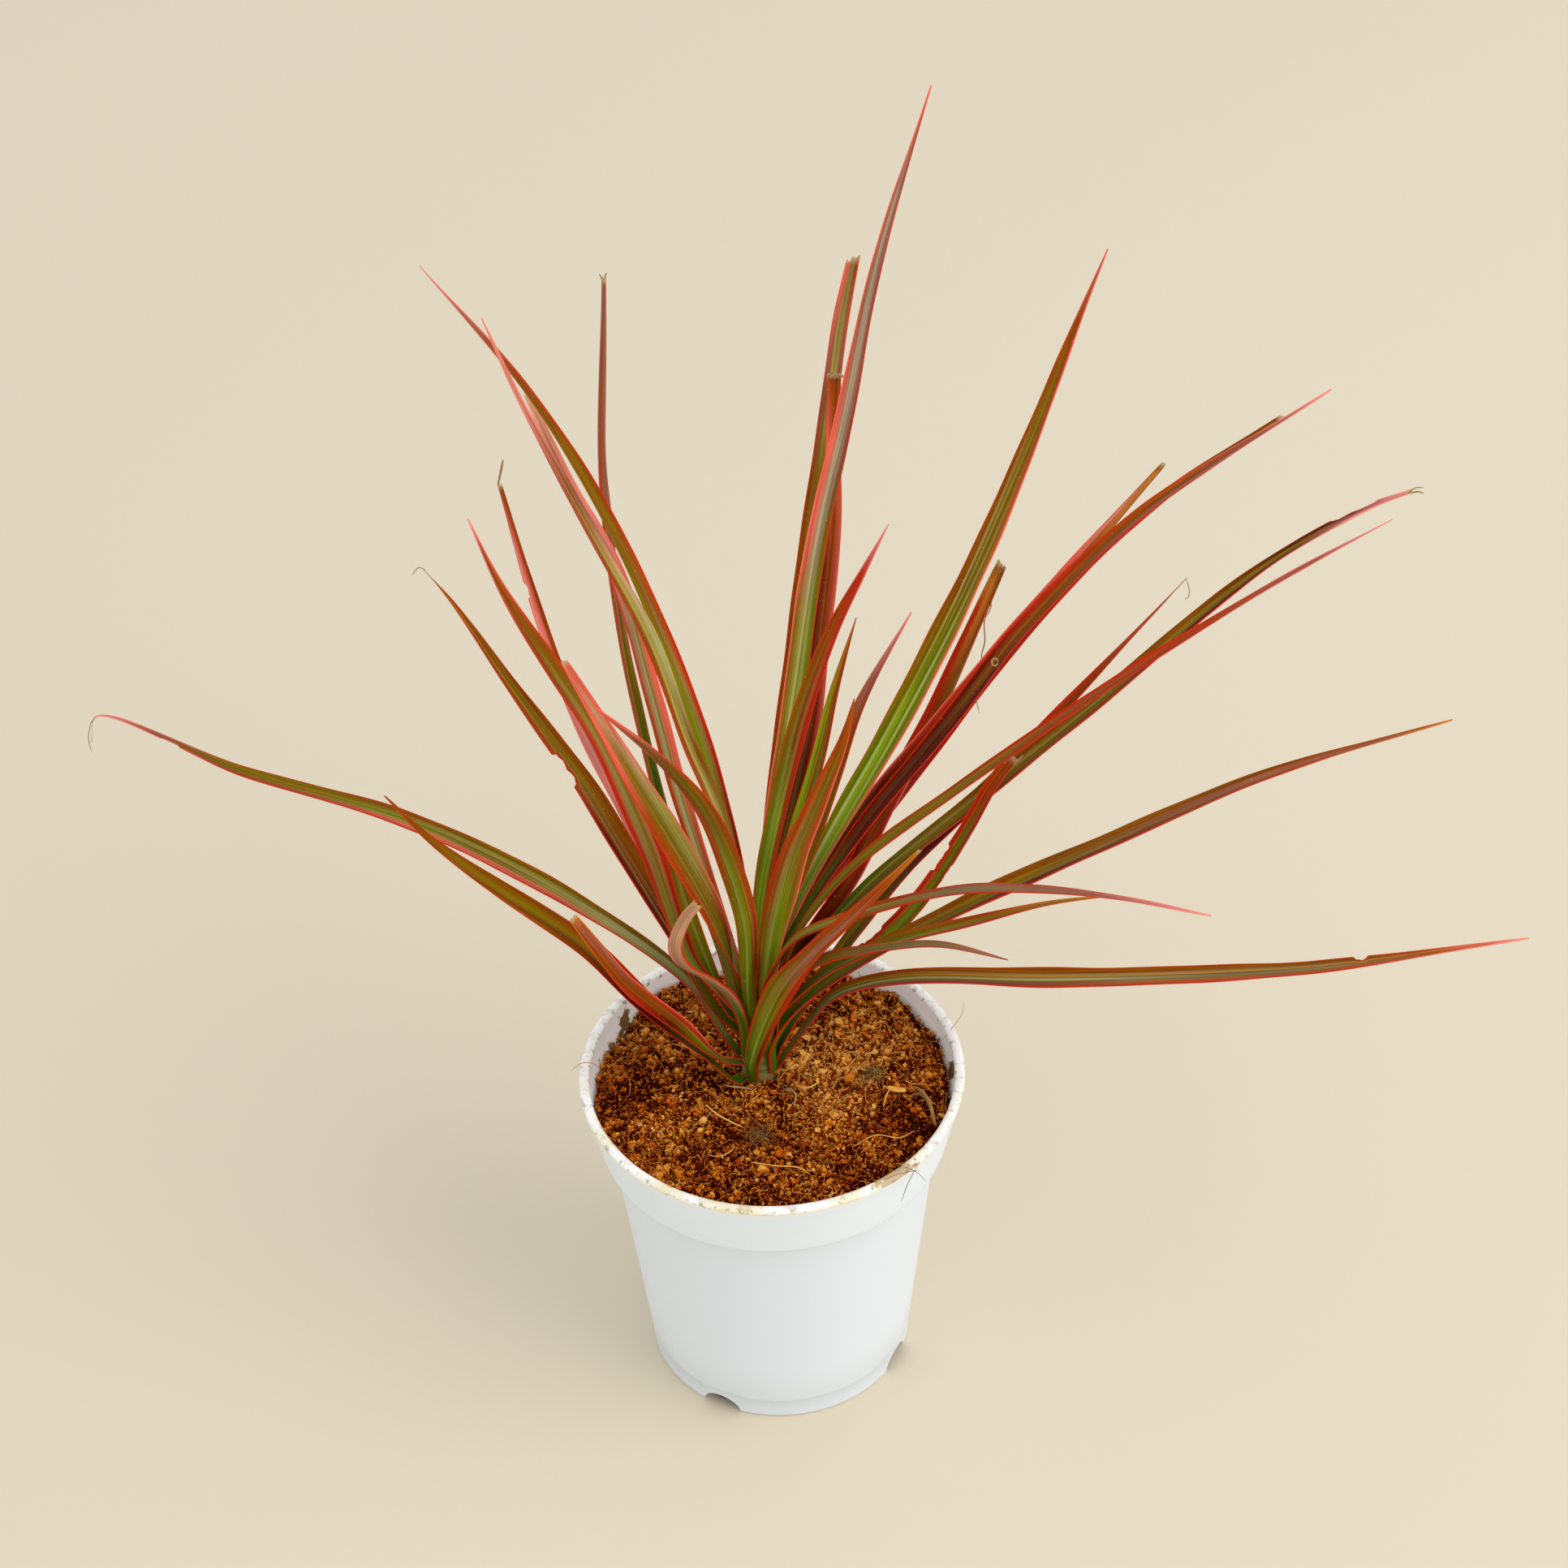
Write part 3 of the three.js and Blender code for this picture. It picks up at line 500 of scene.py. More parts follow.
class PotColours(bpy.types.PropertyGroup):
    """The colours of the pot, of the dirt on it and of the painted light and shade on it"""

    plastic: colour_choice("Plastic", "White polypropylene", "#ebf5ff")
    # Rim is the rim yellowed by handling, and it is also painted on the inner face as painted light.
    rim: colour_choice("Rim", "Rim yellowed by handling", "#fffaee")
    stain: colour_choice("Stain", "Dried mud on the rim", "#e8d8a8")
    cake: colour_choice("Cake", "Mud caked on the front right", "#c4ad84")
    # Mud is wet coir on the wall and flecks on the rim, and also painted shade in the line under the
    # collar.
    mud_and_shade: colour_choice("Mud", "Wet coir on the wall", "#7d5f36")


class MixColours(bpy.types.PropertyGroup):
    """The colours of the potting mix"""

    # Dark is damp coir and painted shade in the gaps between the crumbs.
    dark: colour_choice("Dark", "Wet coir in the gaps", "#3c0900")
    body: colour_choice("Body", "Coir dust", "#ae4608")
    light: colour_choice("Light", "Dry crumbs", "#da8424")
    fibre: colour_choice("Fibre", "Coir fibres", "#efb458")
    algae: colour_choice("Algae", "Grey-green film", "#6e6040")


class PlantSizes(bpy.types.PropertyGroup):
    """The thickness of the blades and what lies loose on the mix"""

    blade_thickness: bpy.props.FloatProperty(
        name="Blade thickness", description="Along the middle line, in mm", default=0.55, min=0.3)
    margin_thickness: bpy.props.FloatProperty(
        name="Margin thickness", description="At the edge of a blade, in mm", default=0.28, min=0.1)
    crumbs: bpy.props.IntProperty(
        name="Crumbs", description="Loose lumps on the potting mix", default=9000, min=0)
    grains: bpy.props.IntProperty(
        name="Grains", description="Fine crumbs among the lumps", default=9500, min=0)
    fibres: bpy.props.IntProperty(
        name="Fibres", description="Loose coir fibres on the potting mix", default=3000, min=0)


ATTRIBUTE_KINDS = {1: ("FLOAT", "value"), 3: ("FLOAT_VECTOR", "vector"), 4: ("FLOAT_COLOR", "color")}


def new_piece(name, points, faces, material, slot, attributes=None, sharp=None, flat=False):
    """A mesh object at the origin from points in mm and lists of faces, riding on the body."""
    mesh = bpy.data.meshes.new(name)
    mesh.from_pydata((np.asarray(points) * MM).tolist(), [], faces)
    mesh.polygons.foreach_set("use_smooth", np.full(len(mesh.polygons), not flat))
    for key, values in (attributes or {}).items():
        values = np.asarray(values, np.float32)
        kind, field = ATTRIBUTE_KINDS[1 if values.ndim == 1 else values.shape[1]]
        mesh.attributes.new(key, kind, "POINT").data.foreach_set(field, values.ravel())
    mesh.update()
    if sharp is not None:
        mesh.set_sharp_from_angle(angle=np.radians(sharp))
    mesh.materials.append(material)
    piece = bpy.data.objects.new(name, mesh)
    bpy.context.scene.collection.objects.link(piece)
    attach(piece, BODY)
    return piece


def fill(node, values):
    """Puts each value in the socket of that place or name: an output is linked, a number is set."""
    for key, value in values.items():
        if isinstance(value, bpy.types.NodeSocket):
            node.id_data.links.new(value, node.inputs[key])
        else:
            node.inputs[key].default_value = value


def add_node(tree, kind, *values, out=0, ramp=(), **settings):
    """Adds a node and returns its first open output, or the one that out names. values go into its
    open sockets in order. settings are its properties, or its sockets where they have a capital, and
    ramp holds the places and colours of a colour ramp."""
    node = tree.nodes.new("ShaderNode" + kind)
    for key in [key for key in settings if key.islower()]:
        setattr(node, key, settings.pop(key))
    places = [place for place, socket in enumerate(node.inputs) if socket.enabled]
    fill(node, {**dict(zip(places, values)), **settings})
    if ramp:
        stops = node.color_ramp.elements
        while len(stops) < len(ramp):
            stops.new(0.5)
        for stop, (place, colour) in zip(stops, ramp):
            stop.position = place
            stop.color = colour if isinstance(colour, tuple) else (colour, colour, colour, 1)
    outputs = {socket.name: socket for socket in node.outputs if socket.enabled}
    return outputs[out] if out else next(iter(outputs.values()))


def new_material(name):
    """A material, its principled shader and the function that adds nodes to it."""
    material = bpy.data.materials.new(name)
    material.use_nodes = True
    tree = material.node_tree
    tree.nodes.clear()
    surface = tree.nodes.new("ShaderNodeBsdfPrincipled")
    output = tree.nodes.new("ShaderNodeOutputMaterial")
    tree.links.new(surface.outputs[0], output.inputs[0])
    return material, surface, partial(add_node, tree)


def chosen(group):
    """The colours chosen in a group of properties, by name."""
    colours = getattr(bpy.context.scene, group)
    return {key: tuple(getattr(colours, key)) for key in colours.__annotations__}


def waxy_blade():
    """Dragon tree leaf: a waxy cuticle over parallel veins. It looks satin, with fine lengthwise
    lines, pale stripes along the middle and a red margin that the cuticle leaves clear."""
    colours = chosen("leaf_colours")
    material, surface, node = new_material("waxy_leaf_blade")
    blade = node("Attribute", attribute_name="blade", out="Vector")
    shade, margin = (node("Attribute", attribute_name=name, out="Color") for name in ("shade", "margin"))
    rim, cream, dry, rib = (node("Attribute", attribute_name=name, out="Fac")
                            for name in ("rim", "cream", "dry", "rib"))
    # Veins lie about 0.3 mm apart, too fine to show, so they are drawn 0.6 mm apart and 50 mm long.
    drawn = node("VectorMath", blade, (VEINS_PER_MM, 0.02, 1), operation="MULTIPLY")
    veins = node("TexNoise", drawn, Scale=1.0, Detail=2.0, Roughness=0.6)
    # The pale stripes are about 1 mm wide and run most of the blade.
    drawn = node("VectorMath", blade, (STRIPES_PER_MM, 0.008, 1), operation="MULTIPLY")
    stripes = node("TexNoise", drawn, Scale=1.0, Detail=1.0)
    # Dull patches are about 11 mm long, dried specks 0.6 mm.
    patches = node("TexNoise", blade, Scale=0.09, Detail=3.0)
    specks = node("TexNoise", blade, Scale=1.6, Detail=2.0)
    body = shade
    for pattern, ramp in ((veins, [(0.33, 0.55), (0.62, 1.0)]), (patches, [(0.3, 0.85), (0.7, 1.0)])):
        body = node("Mix", 1.0, body, node("ValToRGB", pattern, ramp=ramp),
                    data_type="RGBA", blend_type="MULTIPLY")
    pale = node("Math", node("MapRange", stripes, 0.48, 0.66), cream, operation="MULTIPLY")
    vein = node("MapRange", node("Math", rib, operation="ABSOLUTE"), 0.22, 0.06, 0.0, 0.6)
    # rim counts the margin's widths in from the edge, and the veins make its line uneven.
    inwards = node("Math", veins, 0.5, rim, operation="MULTIPLY_ADD")
    halo = node("MapRange", inwards, 3.0, 1.0, 0.0, 0.25)
    edge = node("MapRange", inwards, 1.2, 0.75)
    fleck = node("MapRange", specks, 0.7, 0.76, 0.0, 0.5)
    for share, colour in ((pale, colours["cream"]), (vein, colours["orange"]), (halo, margin),
                          (edge, margin), (fleck, colours["tan"]), (dry, colours["tan"])):
        body = node("Mix", share, body, colour, data_type="RGBA")
    gloss = node("Math", patches, 0.25, 0.35, operation="MULTIPLY_ADD")
    # The light is so wide and soft that the wax gives little sheen, and the red and yellow cells
    # under it warm that sheen.
    fill(surface, {
        "Base Color": body, "Roughness": node("Math", dry, 0.4, gloss, operation="MULTIPLY_ADD"),
        "Specular IOR Level": 0.15, "Specular Tint": linear("#ff9a50"),
        "Normal": node("Bump", Height=veins, Strength=0.5, Distance=0.1 * MM)})
    return material


def ring_faces(rows, count):
    """Quads between rows of points that each close on themselves, and facing outwards where the
    points run anticlockwise seen from the side that the rows lead to."""
    row, column = np.meshgrid(np.arange(rows - 1), np.arange(count), indexing="ij")
    after = (column + 1) % count
    low, high = row * count, (row + 1) * count
    return np.stack([low + column, low + after, high + after, high + column], -1).reshape(-1, 4)


def round_shape(radii, heights, segments):
    """Rows of points round the axis, one for each radius and height, or for rows of them."""
    angle = np.arange(segments) / segments * 2 * np.pi
    radii, heights, angle = np.broadcast_arrays(radii, heights, angle)
    return np.stack([radii * np.cos(angle), radii * np.sin(angle), heights], -1)


def capped(first, rows, last):
    """A closed surface: rows of points that close on themselves, between two poles."""
    count, around = rows.shape[:2]
    points = np.vstack([[first], rows.reshape(-1, 3), [last]])
    side = np.arange(around)
    after = (side + 1) % around
    end = 1 + (count - 1) * around
    fans = [np.stack([np.zeros_like(side), 1 + after, 1 + side], -1),
            np.stack([end + side, end + after, np.full_like(side, len(points) - 1)], -1)]
    return points, [*(ring_faces(count, around) + 1).tolist(), *np.vstack(fans).tolist()]


def path_through(points, shares):
    """Places and directions at shares of the length of a centripetal Catmull-Rom spline: each span is
    a cubic, with end slopes from the square roots of the distances between the points."""
    points = np.asarray(points, float)
    run = np.vstack([2 * points[0] - points[1], points, 2 * points[-1] - points[-2]])
    gap = np.sqrt(np.linalg.norm(np.diff(run, axis=0), axis=1))[:, None]
    a, b, c, d = run[:-3], run[1:-2], run[2:-1], run[3:]
    before, here, after = gap[:-2], gap[1:-1], gap[2:]
    leave = ((b - a) / before - (c - a) / (before + here) + (c - b) / here) * here
    arrive = ((c - b) / here - (d - b) / (here + after) + (d - c) / after) * here
    t = np.linspace(0, 1, 60, endpoint=False)[None, :, None]
    spans = (b[:, None] + leave[:, None] * t
             + (3 * (c - b) - 2 * leave - arrive)[:, None] * t ** 2
             + (2 * (b - c) + leave + arrive)[:, None] * t ** 3)
    fine = np.vstack([spans.reshape(-1, 3), points[-1]])
    length = np.concatenate([[0], np.cumsum(np.linalg.norm(np.diff(fine, axis=0), axis=1))])
    slope = np.gradient(fine, length, axis=0)
    at = np.asarray(shares) * length[-1]
    place = np.stack([np.interp(at, length, fine[:, i]) for i in range(3)], -1)
    along = np.stack([np.interp(at, length, slope[:, i]) for i in range(3)], -1)
    return place, along / np.linalg.norm(along, axis=1, keepdims=True), length[-1]


def cane_radius(height):
    """The cane keeps its radius to where its taper starts, and then falls smoothly to its top."""
    return CANE_RADIUS + (CANE_TOP_RADIUS - CANE_RADIUS) * smooth(height, CANE_TAPER_START, CANE_TOP)


def leaf_width(leaf, share):
    """Width of a leaf: it rises from the root's width to its widest and falls to a point."""
    rise = smooth(share, 0, LEAF_WIDEST_AT)
    past = np.clip((share - LEAF_WIDEST_AT) / (1 - LEAF_WIDEST_AT), 0, None)
    grown = LEAF_ROOT_WIDTH + (leaf["width"] - LEAF_ROOT_WIDTH) * rise
    return grown + (LEAF_TIP_WIDTH - grown) * past ** leaf.get("taper", LEAF_TAPER)


def leaf_half(leaf, side, shares, wobble):
    """Half the blade's width on one side, less its bites and with a slow uneven edge."""
    blade = np.minimum(shares / leaf.get("thread", 1), 1) * leaf.get("keep", 1)
    half = leaf_width(leaf, blade) / 2 * (1 + EDGE_UNEVEN * wobble)
    for bite_side, start, end, depth in leaf.get("bites", ()):
        if bite_side == side:
            inside = (smooth(shares, start, start + BITE_EDGE)
                      * (1 - smooth(shares, end - BITE_EDGE, end)))
            half = half - depth * inside * (1 + BITE_TOOTH * np.sin(shares * BITE_TEETH))
    return np.maximum(half, LEAF_LEAST_HALF)


def level_across(heading):
    """The level direction to the left of a heading."""
    return np.array([-np.sin(heading), np.cos(heading), 0])


def leaf_frame(leaf, shares):
    """Middle line, and the directions along, across and square to the blade. Across, it turns from
    the cane's tangent to the level line square to the leaf, and then rolls."""
    degrees, height = leaf["root"]
    heading = np.radians(degrees)
    reach = cane_radius(height) + SEAT_GAP
    seat = (CANE[0] + reach * np.cos(heading), CANE[1] + reach * np.sin(heading), height)
    centre, along, length = path_through([seat, *leaf["spine"]], shares)
    whole = np.array(leaf["spine"][-1]) - seat
    faces = np.radians(leaf["faces"]) if "faces" in leaf else np.arctan2(whole[1], whole[0])
    turn = smooth(shares, 0, TURN_FROM_CANE)[:, None]
    width = level_across(heading) + (level_across(faces) - level_across(heading)) * turn
    width = width - along * np.sum(along * width, axis=1, keepdims=True)
    width = width / np.linalg.norm(width, axis=1, keepdims=True)
    roll = (np.radians(leaf.get("roll", 0)) * smooth(shares, 0, ROLLED_AT))[:, None]
    width = width * np.cos(roll) + np.cross(along, width) * np.sin(roll)
    return centre, along, width, np.cross(along, width), length


def leaf_rows(leaf):
    """Shares of the length at which a blade has a row of points: even, and closer at its bites."""
    ends = [end for bite in leaf.get("bites", ()) for end in bite[1:3]]
    close = np.clip(np.add.outer(ends, BITE_ROWS).ravel(), 0, 1)
    return np.unique(np.concatenate([np.linspace(0, 1, LEAF_ROWS), close]))


def leaf_section(leaf, rng, shares, across, mm):
    """For each row and place across: half the width, the lift of the rounded channel and the waved
    margins, and how far the cut end is ragged, all in mm."""
    phase = rng.uniform(0, 2 * np.pi, 6)
    halves = {side: leaf_half(leaf, side, shares,
                              np.sin(mm / 9.0 + phase[i]) + 0.6 * np.sin(mm / 4.1 + phase[i + 1]))
              for side, i in ((-1, 0), (1, 2))}
    half = np.where(across[None, :] < 0, halves[-1][:, None], halves[1][:, None])
    deeper = leaf.get("channel", LEAF_CHANNEL) - LEAF_CHANNEL
    fold = LEAF_CHANNEL + deeper * smooth(shares, 0, TURN_FROM_CANE)
    bowl = ((np.hypot(across, CHANNEL_ROUND) - CHANNEL_ROUND)
            / (np.hypot(1, CHANNEL_ROUND) - CHANNEL_ROUND))
    wave = MARGIN_WAVE * smooth(shares, 0.1, 0.3) * np.sin(mm / 6.5 + phase[4])
    ragged = np.zeros_like(half)
    if leaf.get("keep", 1) < 1:
        ragged[-1] = leaf.get("rake", 0) * across + rng.uniform(-0.5, 0.5, across.size)
    return half, half * fold[:, None] * bowl + wave[:, None] * across ** 3, ragged


def leaf_thickness(leaf, shares, across):
    """Thickness in mm: rounded across from the middle to the margins, thinner to the tip and least
    where the leaf has dried to a thread."""
    sizes = bpy.context.scene.plant_sizes
    middle, margin = sizes.blade_thickness, sizes.margin_thickness
    start = leaf.get("thread", 2)
    dried = 1 - 0.6 * smooth(shares, start - THREAD_TURN, start)
    tip = 0.55 + 0.45 * smooth(1 - shares, 0, 0.3)
    return (margin + (middle - margin) * np.sqrt(1 - across ** 2 * 0.98)) * (dried * tip)[:, None]


def leaf_shades(leaf, shares, across, colours):
    """The blade's colour: the named colours, mixed along the length and from side to side."""
    bands = []
    for share, names in leaf["shades"]:
        names = names.split()
        bands.append([colours[names[min(side, len(names) - 1)]] for side in range(3)])
    stops = [share for share, names in leaf["shades"]]
    bands = np.array(bands)
    left, middle, right = (np.stack([np.interp(shares, stops, bands[:, band, i]) for i in range(4)], -1)
                           [:, None] for band in range(3))
    to_left = smooth(across, 0.1, 0.6)[:, None]
    to_right = smooth(-across, 0.1, 0.6)[:, None]
    return left * to_left + right * to_right + middle * (1 - to_left - to_right)


def leaf_looks(leaf, number, shares, across, half, length):
    """What the blade's material reads at each row and place across."""
    colours = chosen("leaf_colours")
    tapering = (1 - 0.35 * smooth(shares, 0.4, 0.9))[:, None]
    margin_width = np.where(across < 0, leaf["edge"][1], leaf["edge"][0]) * tapering
    left, right = (np.array(colours[name]) for name in leaf.get("margin", "red red").split())
    tip = np.array(colours[leaf["shades"][-1][1].split()[0]])
    to_tip = smooth(shares, 0.75, 1)[:, None, None]
    fading = (smooth(shares, 0.03, 0.15) * (1 - smooth(shares, 0.4, 0.9)))[:, None]
    start = leaf.get("thread", 2)
    curled = smooth(shares, start, max(start + THREAD_TURN, (start + 1) / 2))
    torn = smooth(shares, 1 - TORN_LENGTH / length, 1) if leaf.get("keep", 1) < 1 else 0
    in_mm = across * half
    return {
        "shade": leaf_shades(leaf, shares, across, colours),
        "margin": np.where((across < 0)[:, None], right, left) * (1 - to_tip) + tip * to_tip,
        "blade": np.stack(np.broadcast_arrays(in_mm, (shares * length)[:, None], 37.0 * number), -1),
        "rim": half * (1 - np.abs(across)) / margin_width,
        "cream": leaf["cream"] * (1 - smooth(np.abs(across), 0.35, 0.75)) * fading,
        "dry": np.maximum(curled, torn)[:, None] * np.ones_like(half),
        "rib": in_mm - leaf["rib"] * half if "rib" in leaf else np.ones_like(half),
    }


def both_faces(upper, lower):
    """Values along the upper face of each row and back along the lower one, in one list."""
    return np.concatenate([upper, lower[:, ::-1]], axis=1).reshape(-1, *upper.shape[2:])


def build_leaf(name, leaf, number, material):
    """One blade. Its upper face is a grid over the share of the length and the place across from -1
    to 1: the middle line, plus across times the half width, plus the lift of the channel and the
    margins. The lower face is the same, one thickness lower."""
    shares = leaf_rows(leaf)
    across = np.sin(np.linspace(-np.pi / 2, np.pi / 2, LEAF_COLUMNS))
    centre, along, width, face, length = leaf_frame(leaf, shares)
    rng = np.random.default_rng(100 + number)
    half, lift, ragged = leaf_section(leaf, rng, shares, across, shares * length)
    upper = (centre[:, None] + width[:, None] * (across * half)[..., None]
             + face[:, None] * lift[..., None] + along[:, None] * ragged[..., None])
    lower = upper - face[:, None] * leaf_thickness(leaf, shares, across)[..., None]
    count = LEAF_COLUMNS * 2
    steps = np.arange(LEAF_COLUMNS - 1)
    root = np.stack([steps, steps + 1, count - 2 - steps, count - 1 - steps], -1)
    tip = root[:, ::-1] + (shares.size - 1) * count
    faces = np.concatenate([ring_faces(shares.size, count)[:, ::-1], root, tip])
    looks = leaf_looks(leaf, number, shares, across, half, length)
    piece = new_piece(name.replace("leaf_", "blade_"), both_faces(upper, lower), faces.tolist(),
                      material, "leaf", {key: both_faces(look, look) for key, look in looks.items()},
                      sharp=50)
    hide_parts(name)


# Dry threads that hang from tips and wounds, torn ends and one wound ring: radius and places in mm.
THREADS = (
    (0.35, [(-66.5, 101, 212.6), (-65.3, 100.8, 217.4), (-64.4, 101, 221)]),
    (0.14, [(-85.4, 82.6, 200), (-87, 82.4, 200.8), (-88.9, 82, 198.7)]),
    (0.13, [(-172.8, 64.6, 169.2), (-174.3, 64.6, 167.6), (-175.9, 64, 162.2), (-175.6, 63.6, 158.1)]),
    (0.14, [(111.8, 81.6, 189.8), (112.7, 81.4, 186.8), (112.6, 81.2, 184.4), (111.6, 81, 183.6)]),
    (0.2, [(64.8, 84.2, 194.6), (61.5, 82.4, 189.9), (60.8, 80, 183.5), (59.3, 79, 180.9),
           (59.4, 78.6, 173.7), (58.6, 78.4, 169.4), (58.9, 78, 165.3)]),
    (0.12, [(54.4, 47, 182.4), (54.8, 46.6, 181), (55.7, 46, 176)]),
    (0.3, [(61.2, 39.2, 166), (63, 38, 165.1), (65, 38, 166.3), (66.4, 38, 168.4)]),
    (0.26, [(60.2, 45, 193.1), (59.6, 45.6, 193.8), (58.7, 45.3, 193.5), (58.7, 44.7, 192.7),
            (59.6, 44.4, 192.4), (60.2, 44.9, 193)]),
    (0.2, [(-38.2, 144, 247.6), (-38.5, 143.8, 249), (-38.9, 143.6, 249.6)]),
    (0.2, [(-37.6, 144, 247.8), (-37.2, 143.8, 249), (-36.9, 143.6, 250)]),
    (0.22, [(170.4, 94.6, 205.6), (172.6, 94.2, 206.4), (174.2, 94, 205.9)]),
    (0.16, [(170, 94.4, 205.8), (171.8, 94.2, 207.6), (174, 94, 207.8)]),
    (0.3, [(21.4, 111.6, 235.2), (23.6, 111.2, 236.8), (24.6, 111, 234.6), (23.2, 110.8, 232)]),
    (0.24, [(20, 111.8, 236), (21.6, 111.2, 237.6), (23, 110.8, 236.2)]),
    (0.22, [(-12.2, -7, 98.4), (-9.6, -8.6, 99.4), (-6.4, -8.8, 99), (-5, -8, 97.4)]),
    (0.26, [(2.6, -5.6, 94.6), (4.6, -7, 96.4), (6, -8.6, 95.6), (5.4, -10.4, 94)]),
)


def dried_tissue():
    """Dead leaf tip: a curled, papery strip of fibres. It looks matt and straw-coloured."""
    material, surface, node = new_material("dried_leaf_tissue")
    # Browner stretches are 2 to 4 mm long.
    cloud = node("TexNoise", node("TexCoord", out="Object"), Scale=300.0, Detail=2.0)
    tan = chosen("leaf_colours")["tan"]
    fill(surface, {"Base Color": node("Mix", cloud, tan, linear("#8a6236"), data_type="RGBA"),
                   "Roughness": 0.9})
    return material


def build_threads():
    """The dry threads: thin tubes along curves, 24 steps to each."""
    shares = np.linspace(0, 1, 24)
    paths = np.stack([path_through(points, shares)[0] for radius, points in THREADS])
    points, faces = tubes(paths, np.array([radius for radius, points in THREADS]), 6)
    new_piece("dried_threads", points, faces, dried_tissue(), "leaf")


class PLANT_OT_leaves(bpy.types.Operator):
    """Make the 36 leaves and their dry threads"""

    bl_idname = "plant.leaves"
    bl_label = "Leaves"

    def execute(self, context):
        material = waxy_blade()
        for number, (name, leaf) in enumerate(LEAVES.items()):
            build_leaf(name, leaf, number, material)
        build_threads()
        return {"FINISHED"}


def turned(profile, segments):
    """A solid of revolution: each (radius, height) of the profile, which starts and ends on the axis,
    carried round it."""
    profile = np.asarray(profile, float)
    rows = round_shape(profile[1:-1, :1], profile[1:-1, 1:], segments)
    return capped((0, 0, profile[0, 1]), rows, (0, 0, profile[-1, 1]))


def wall_radius(height):
    """Radius of the wall's outer face, which widens evenly from the foot line to the collar."""
    share = (height - FOOT_LINE) / (COLLAR_BOTTOM - FOOT_LINE)
    return BASE_RADIUS + FOOT_STEP + (WALL_TOP_RADIUS - BASE_RADIUS - FOOT_STEP) * share


def inner_radius(height):
    """Radius of the pot's inner face: one wall inside the outer one, and wider in the collar."""
    if height <= COLLAR_BOTTOM:
        return wall_radius(max(height, FOOT_LINE)) - WALL
    share = (height - COLLAR_BOTTOM) / (POT_HEIGHT - RIM_LIP_HEIGHT - COLLAR_BOTTOM)
    return WALL_TOP_RADIUS - WALL + (COLLAR_TOP_RADIUS - WALL_TOP_RADIUS) * share


def arc(middle, radii, start, end, steps):
    """Points of an elliptical arc, from start to end in degrees."""
    angle = np.radians(np.linspace(start, end, steps))
    return [(middle[0] + radii[0] * np.cos(a), middle[1] + radii[1] * np.sin(a)) for a in angle]


def pot_profile():
    """The pot's outline as (radius, height): out over the base, up the foot, the wall and the collar,
    over the bead, and down the inner face to the floor."""
    lip_bottom = POT_HEIGHT - RIM_LIP_HEIGHT
    bead = POT_HEIGHT - RIM_BEAD_HEIGHT
    neck = RIM_RADIUS - RIM_NECK
    base = BASE_RADIUS - FOOT_ROUND
    step = FOOT_LINE - FOOT_STEP
    return [
        (0, 0), (base, 0),
        *arc((base, FOOT_ROUND), (FOOT_ROUND, FOOT_ROUND), -80, 0, 6),
        (BASE_RADIUS, step - 0.15), (BASE_RADIUS + 0.1, step),
        (wall_radius(FOOT_LINE) - 0.08, FOOT_LINE - 0.05), (wall_radius(FOOT_LINE), FOOT_LINE + 0.15),
        *[(wall_radius(height), height) for height in (20, 35, 50, 65, COLLAR_BOTTOM - 1)],
        (WALL_TOP_RADIUS + 0.1, COLLAR_BOTTOM - 0.3), (WALL_TOP_RADIUS + 0.4, COLLAR_BOTTOM - 0.05),
        *arc((COLLAR_BOTTOM_RADIUS - COLLAR_ROUND, COLLAR_BOTTOM + COLLAR_ROUND),
             (COLLAR_ROUND, COLLAR_ROUND), -90, -10, 5),
        *[(COLLAR_BOTTOM_RADIUS + (neck - COLLAR_BOTTOM_RADIUS) * share,
           COLLAR_BOTTOM + (bead - COLLAR_BOTTOM) * share) for share in (0.1, 0.4, 0.7, 0.97)],
        (neck + 0.2, bead + 0.15), (RIM_RADIUS - 0.05, bead + 0.45),
        *arc((RIM_RADIUS - RIM_LIP_WIDTH / 2, POT_HEIGHT - RIM_CROWN),
             (RIM_LIP_WIDTH / 2, RIM_CROWN), 0, 180, 13),
        (inner_radius(lip_bottom) + 0.1, lip_bottom - 0.4), (inner_radius(lip_bottom), lip_bottom - 1),
        (inner_radius(86), 86), (inner_radius(COLLAR_BOTTOM + 1), COLLAR_BOTTOM + 1),
        (inner_radius(FOOT_LINE), FOOT_LINE), (inner_radius(FOOT_LINE), FLOOR), (0, FLOOR),
    ]


def notch_cutter():
    """Closed bars with a half-round top, one through the foot for each drain notch. They start below
    the foot and end past its outer face."""
    outline = np.array([(-NOTCH_WIDTH / 2, -1.0), (NOTCH_WIDTH / 2, -1.0),
                        *arc((0, 0), (NOTCH_WIDTH / 2, NOTCH_HEIGHT), 0, 180, 25)])
    points, faces, count = [], [], len(outline)
    for number in range(NOTCH_COUNT):
        heading = np.radians(NOTCH_HEADING + 360 / NOTCH_COUNT * number)
        out = np.array([np.cos(heading), np.sin(heading), 0])
        start = len(points)
        for reach in (BASE_RADIUS - NOTCH_DEPTH, BASE_RADIUS + 2):
            points += [out * reach + level_across(heading) * x + np.array([0, 0, z]) for x, z in outline]
        faces += (ring_faces(2, count) + start).tolist()
        faces += [[start + i for i in range(count)][::-1], [start + count + i for i in range(count)]]
    return np.array(points), faces


def blot(node, place, ragged, spot):
    """Share of a spot of about the given radius, its edge torn by a noise."""
    centre, radius = tuple(np.multiply(spot[:3], MM)), spot[3] * MM
    away = node("VectorMath", place, centre, operation="DISTANCE")
    away = node("Math", ragged, -3 * radius, away, operation="MULTIPLY_ADD")
    return node("MapRange", away, -0.4 * radius, -0.7 * radius)


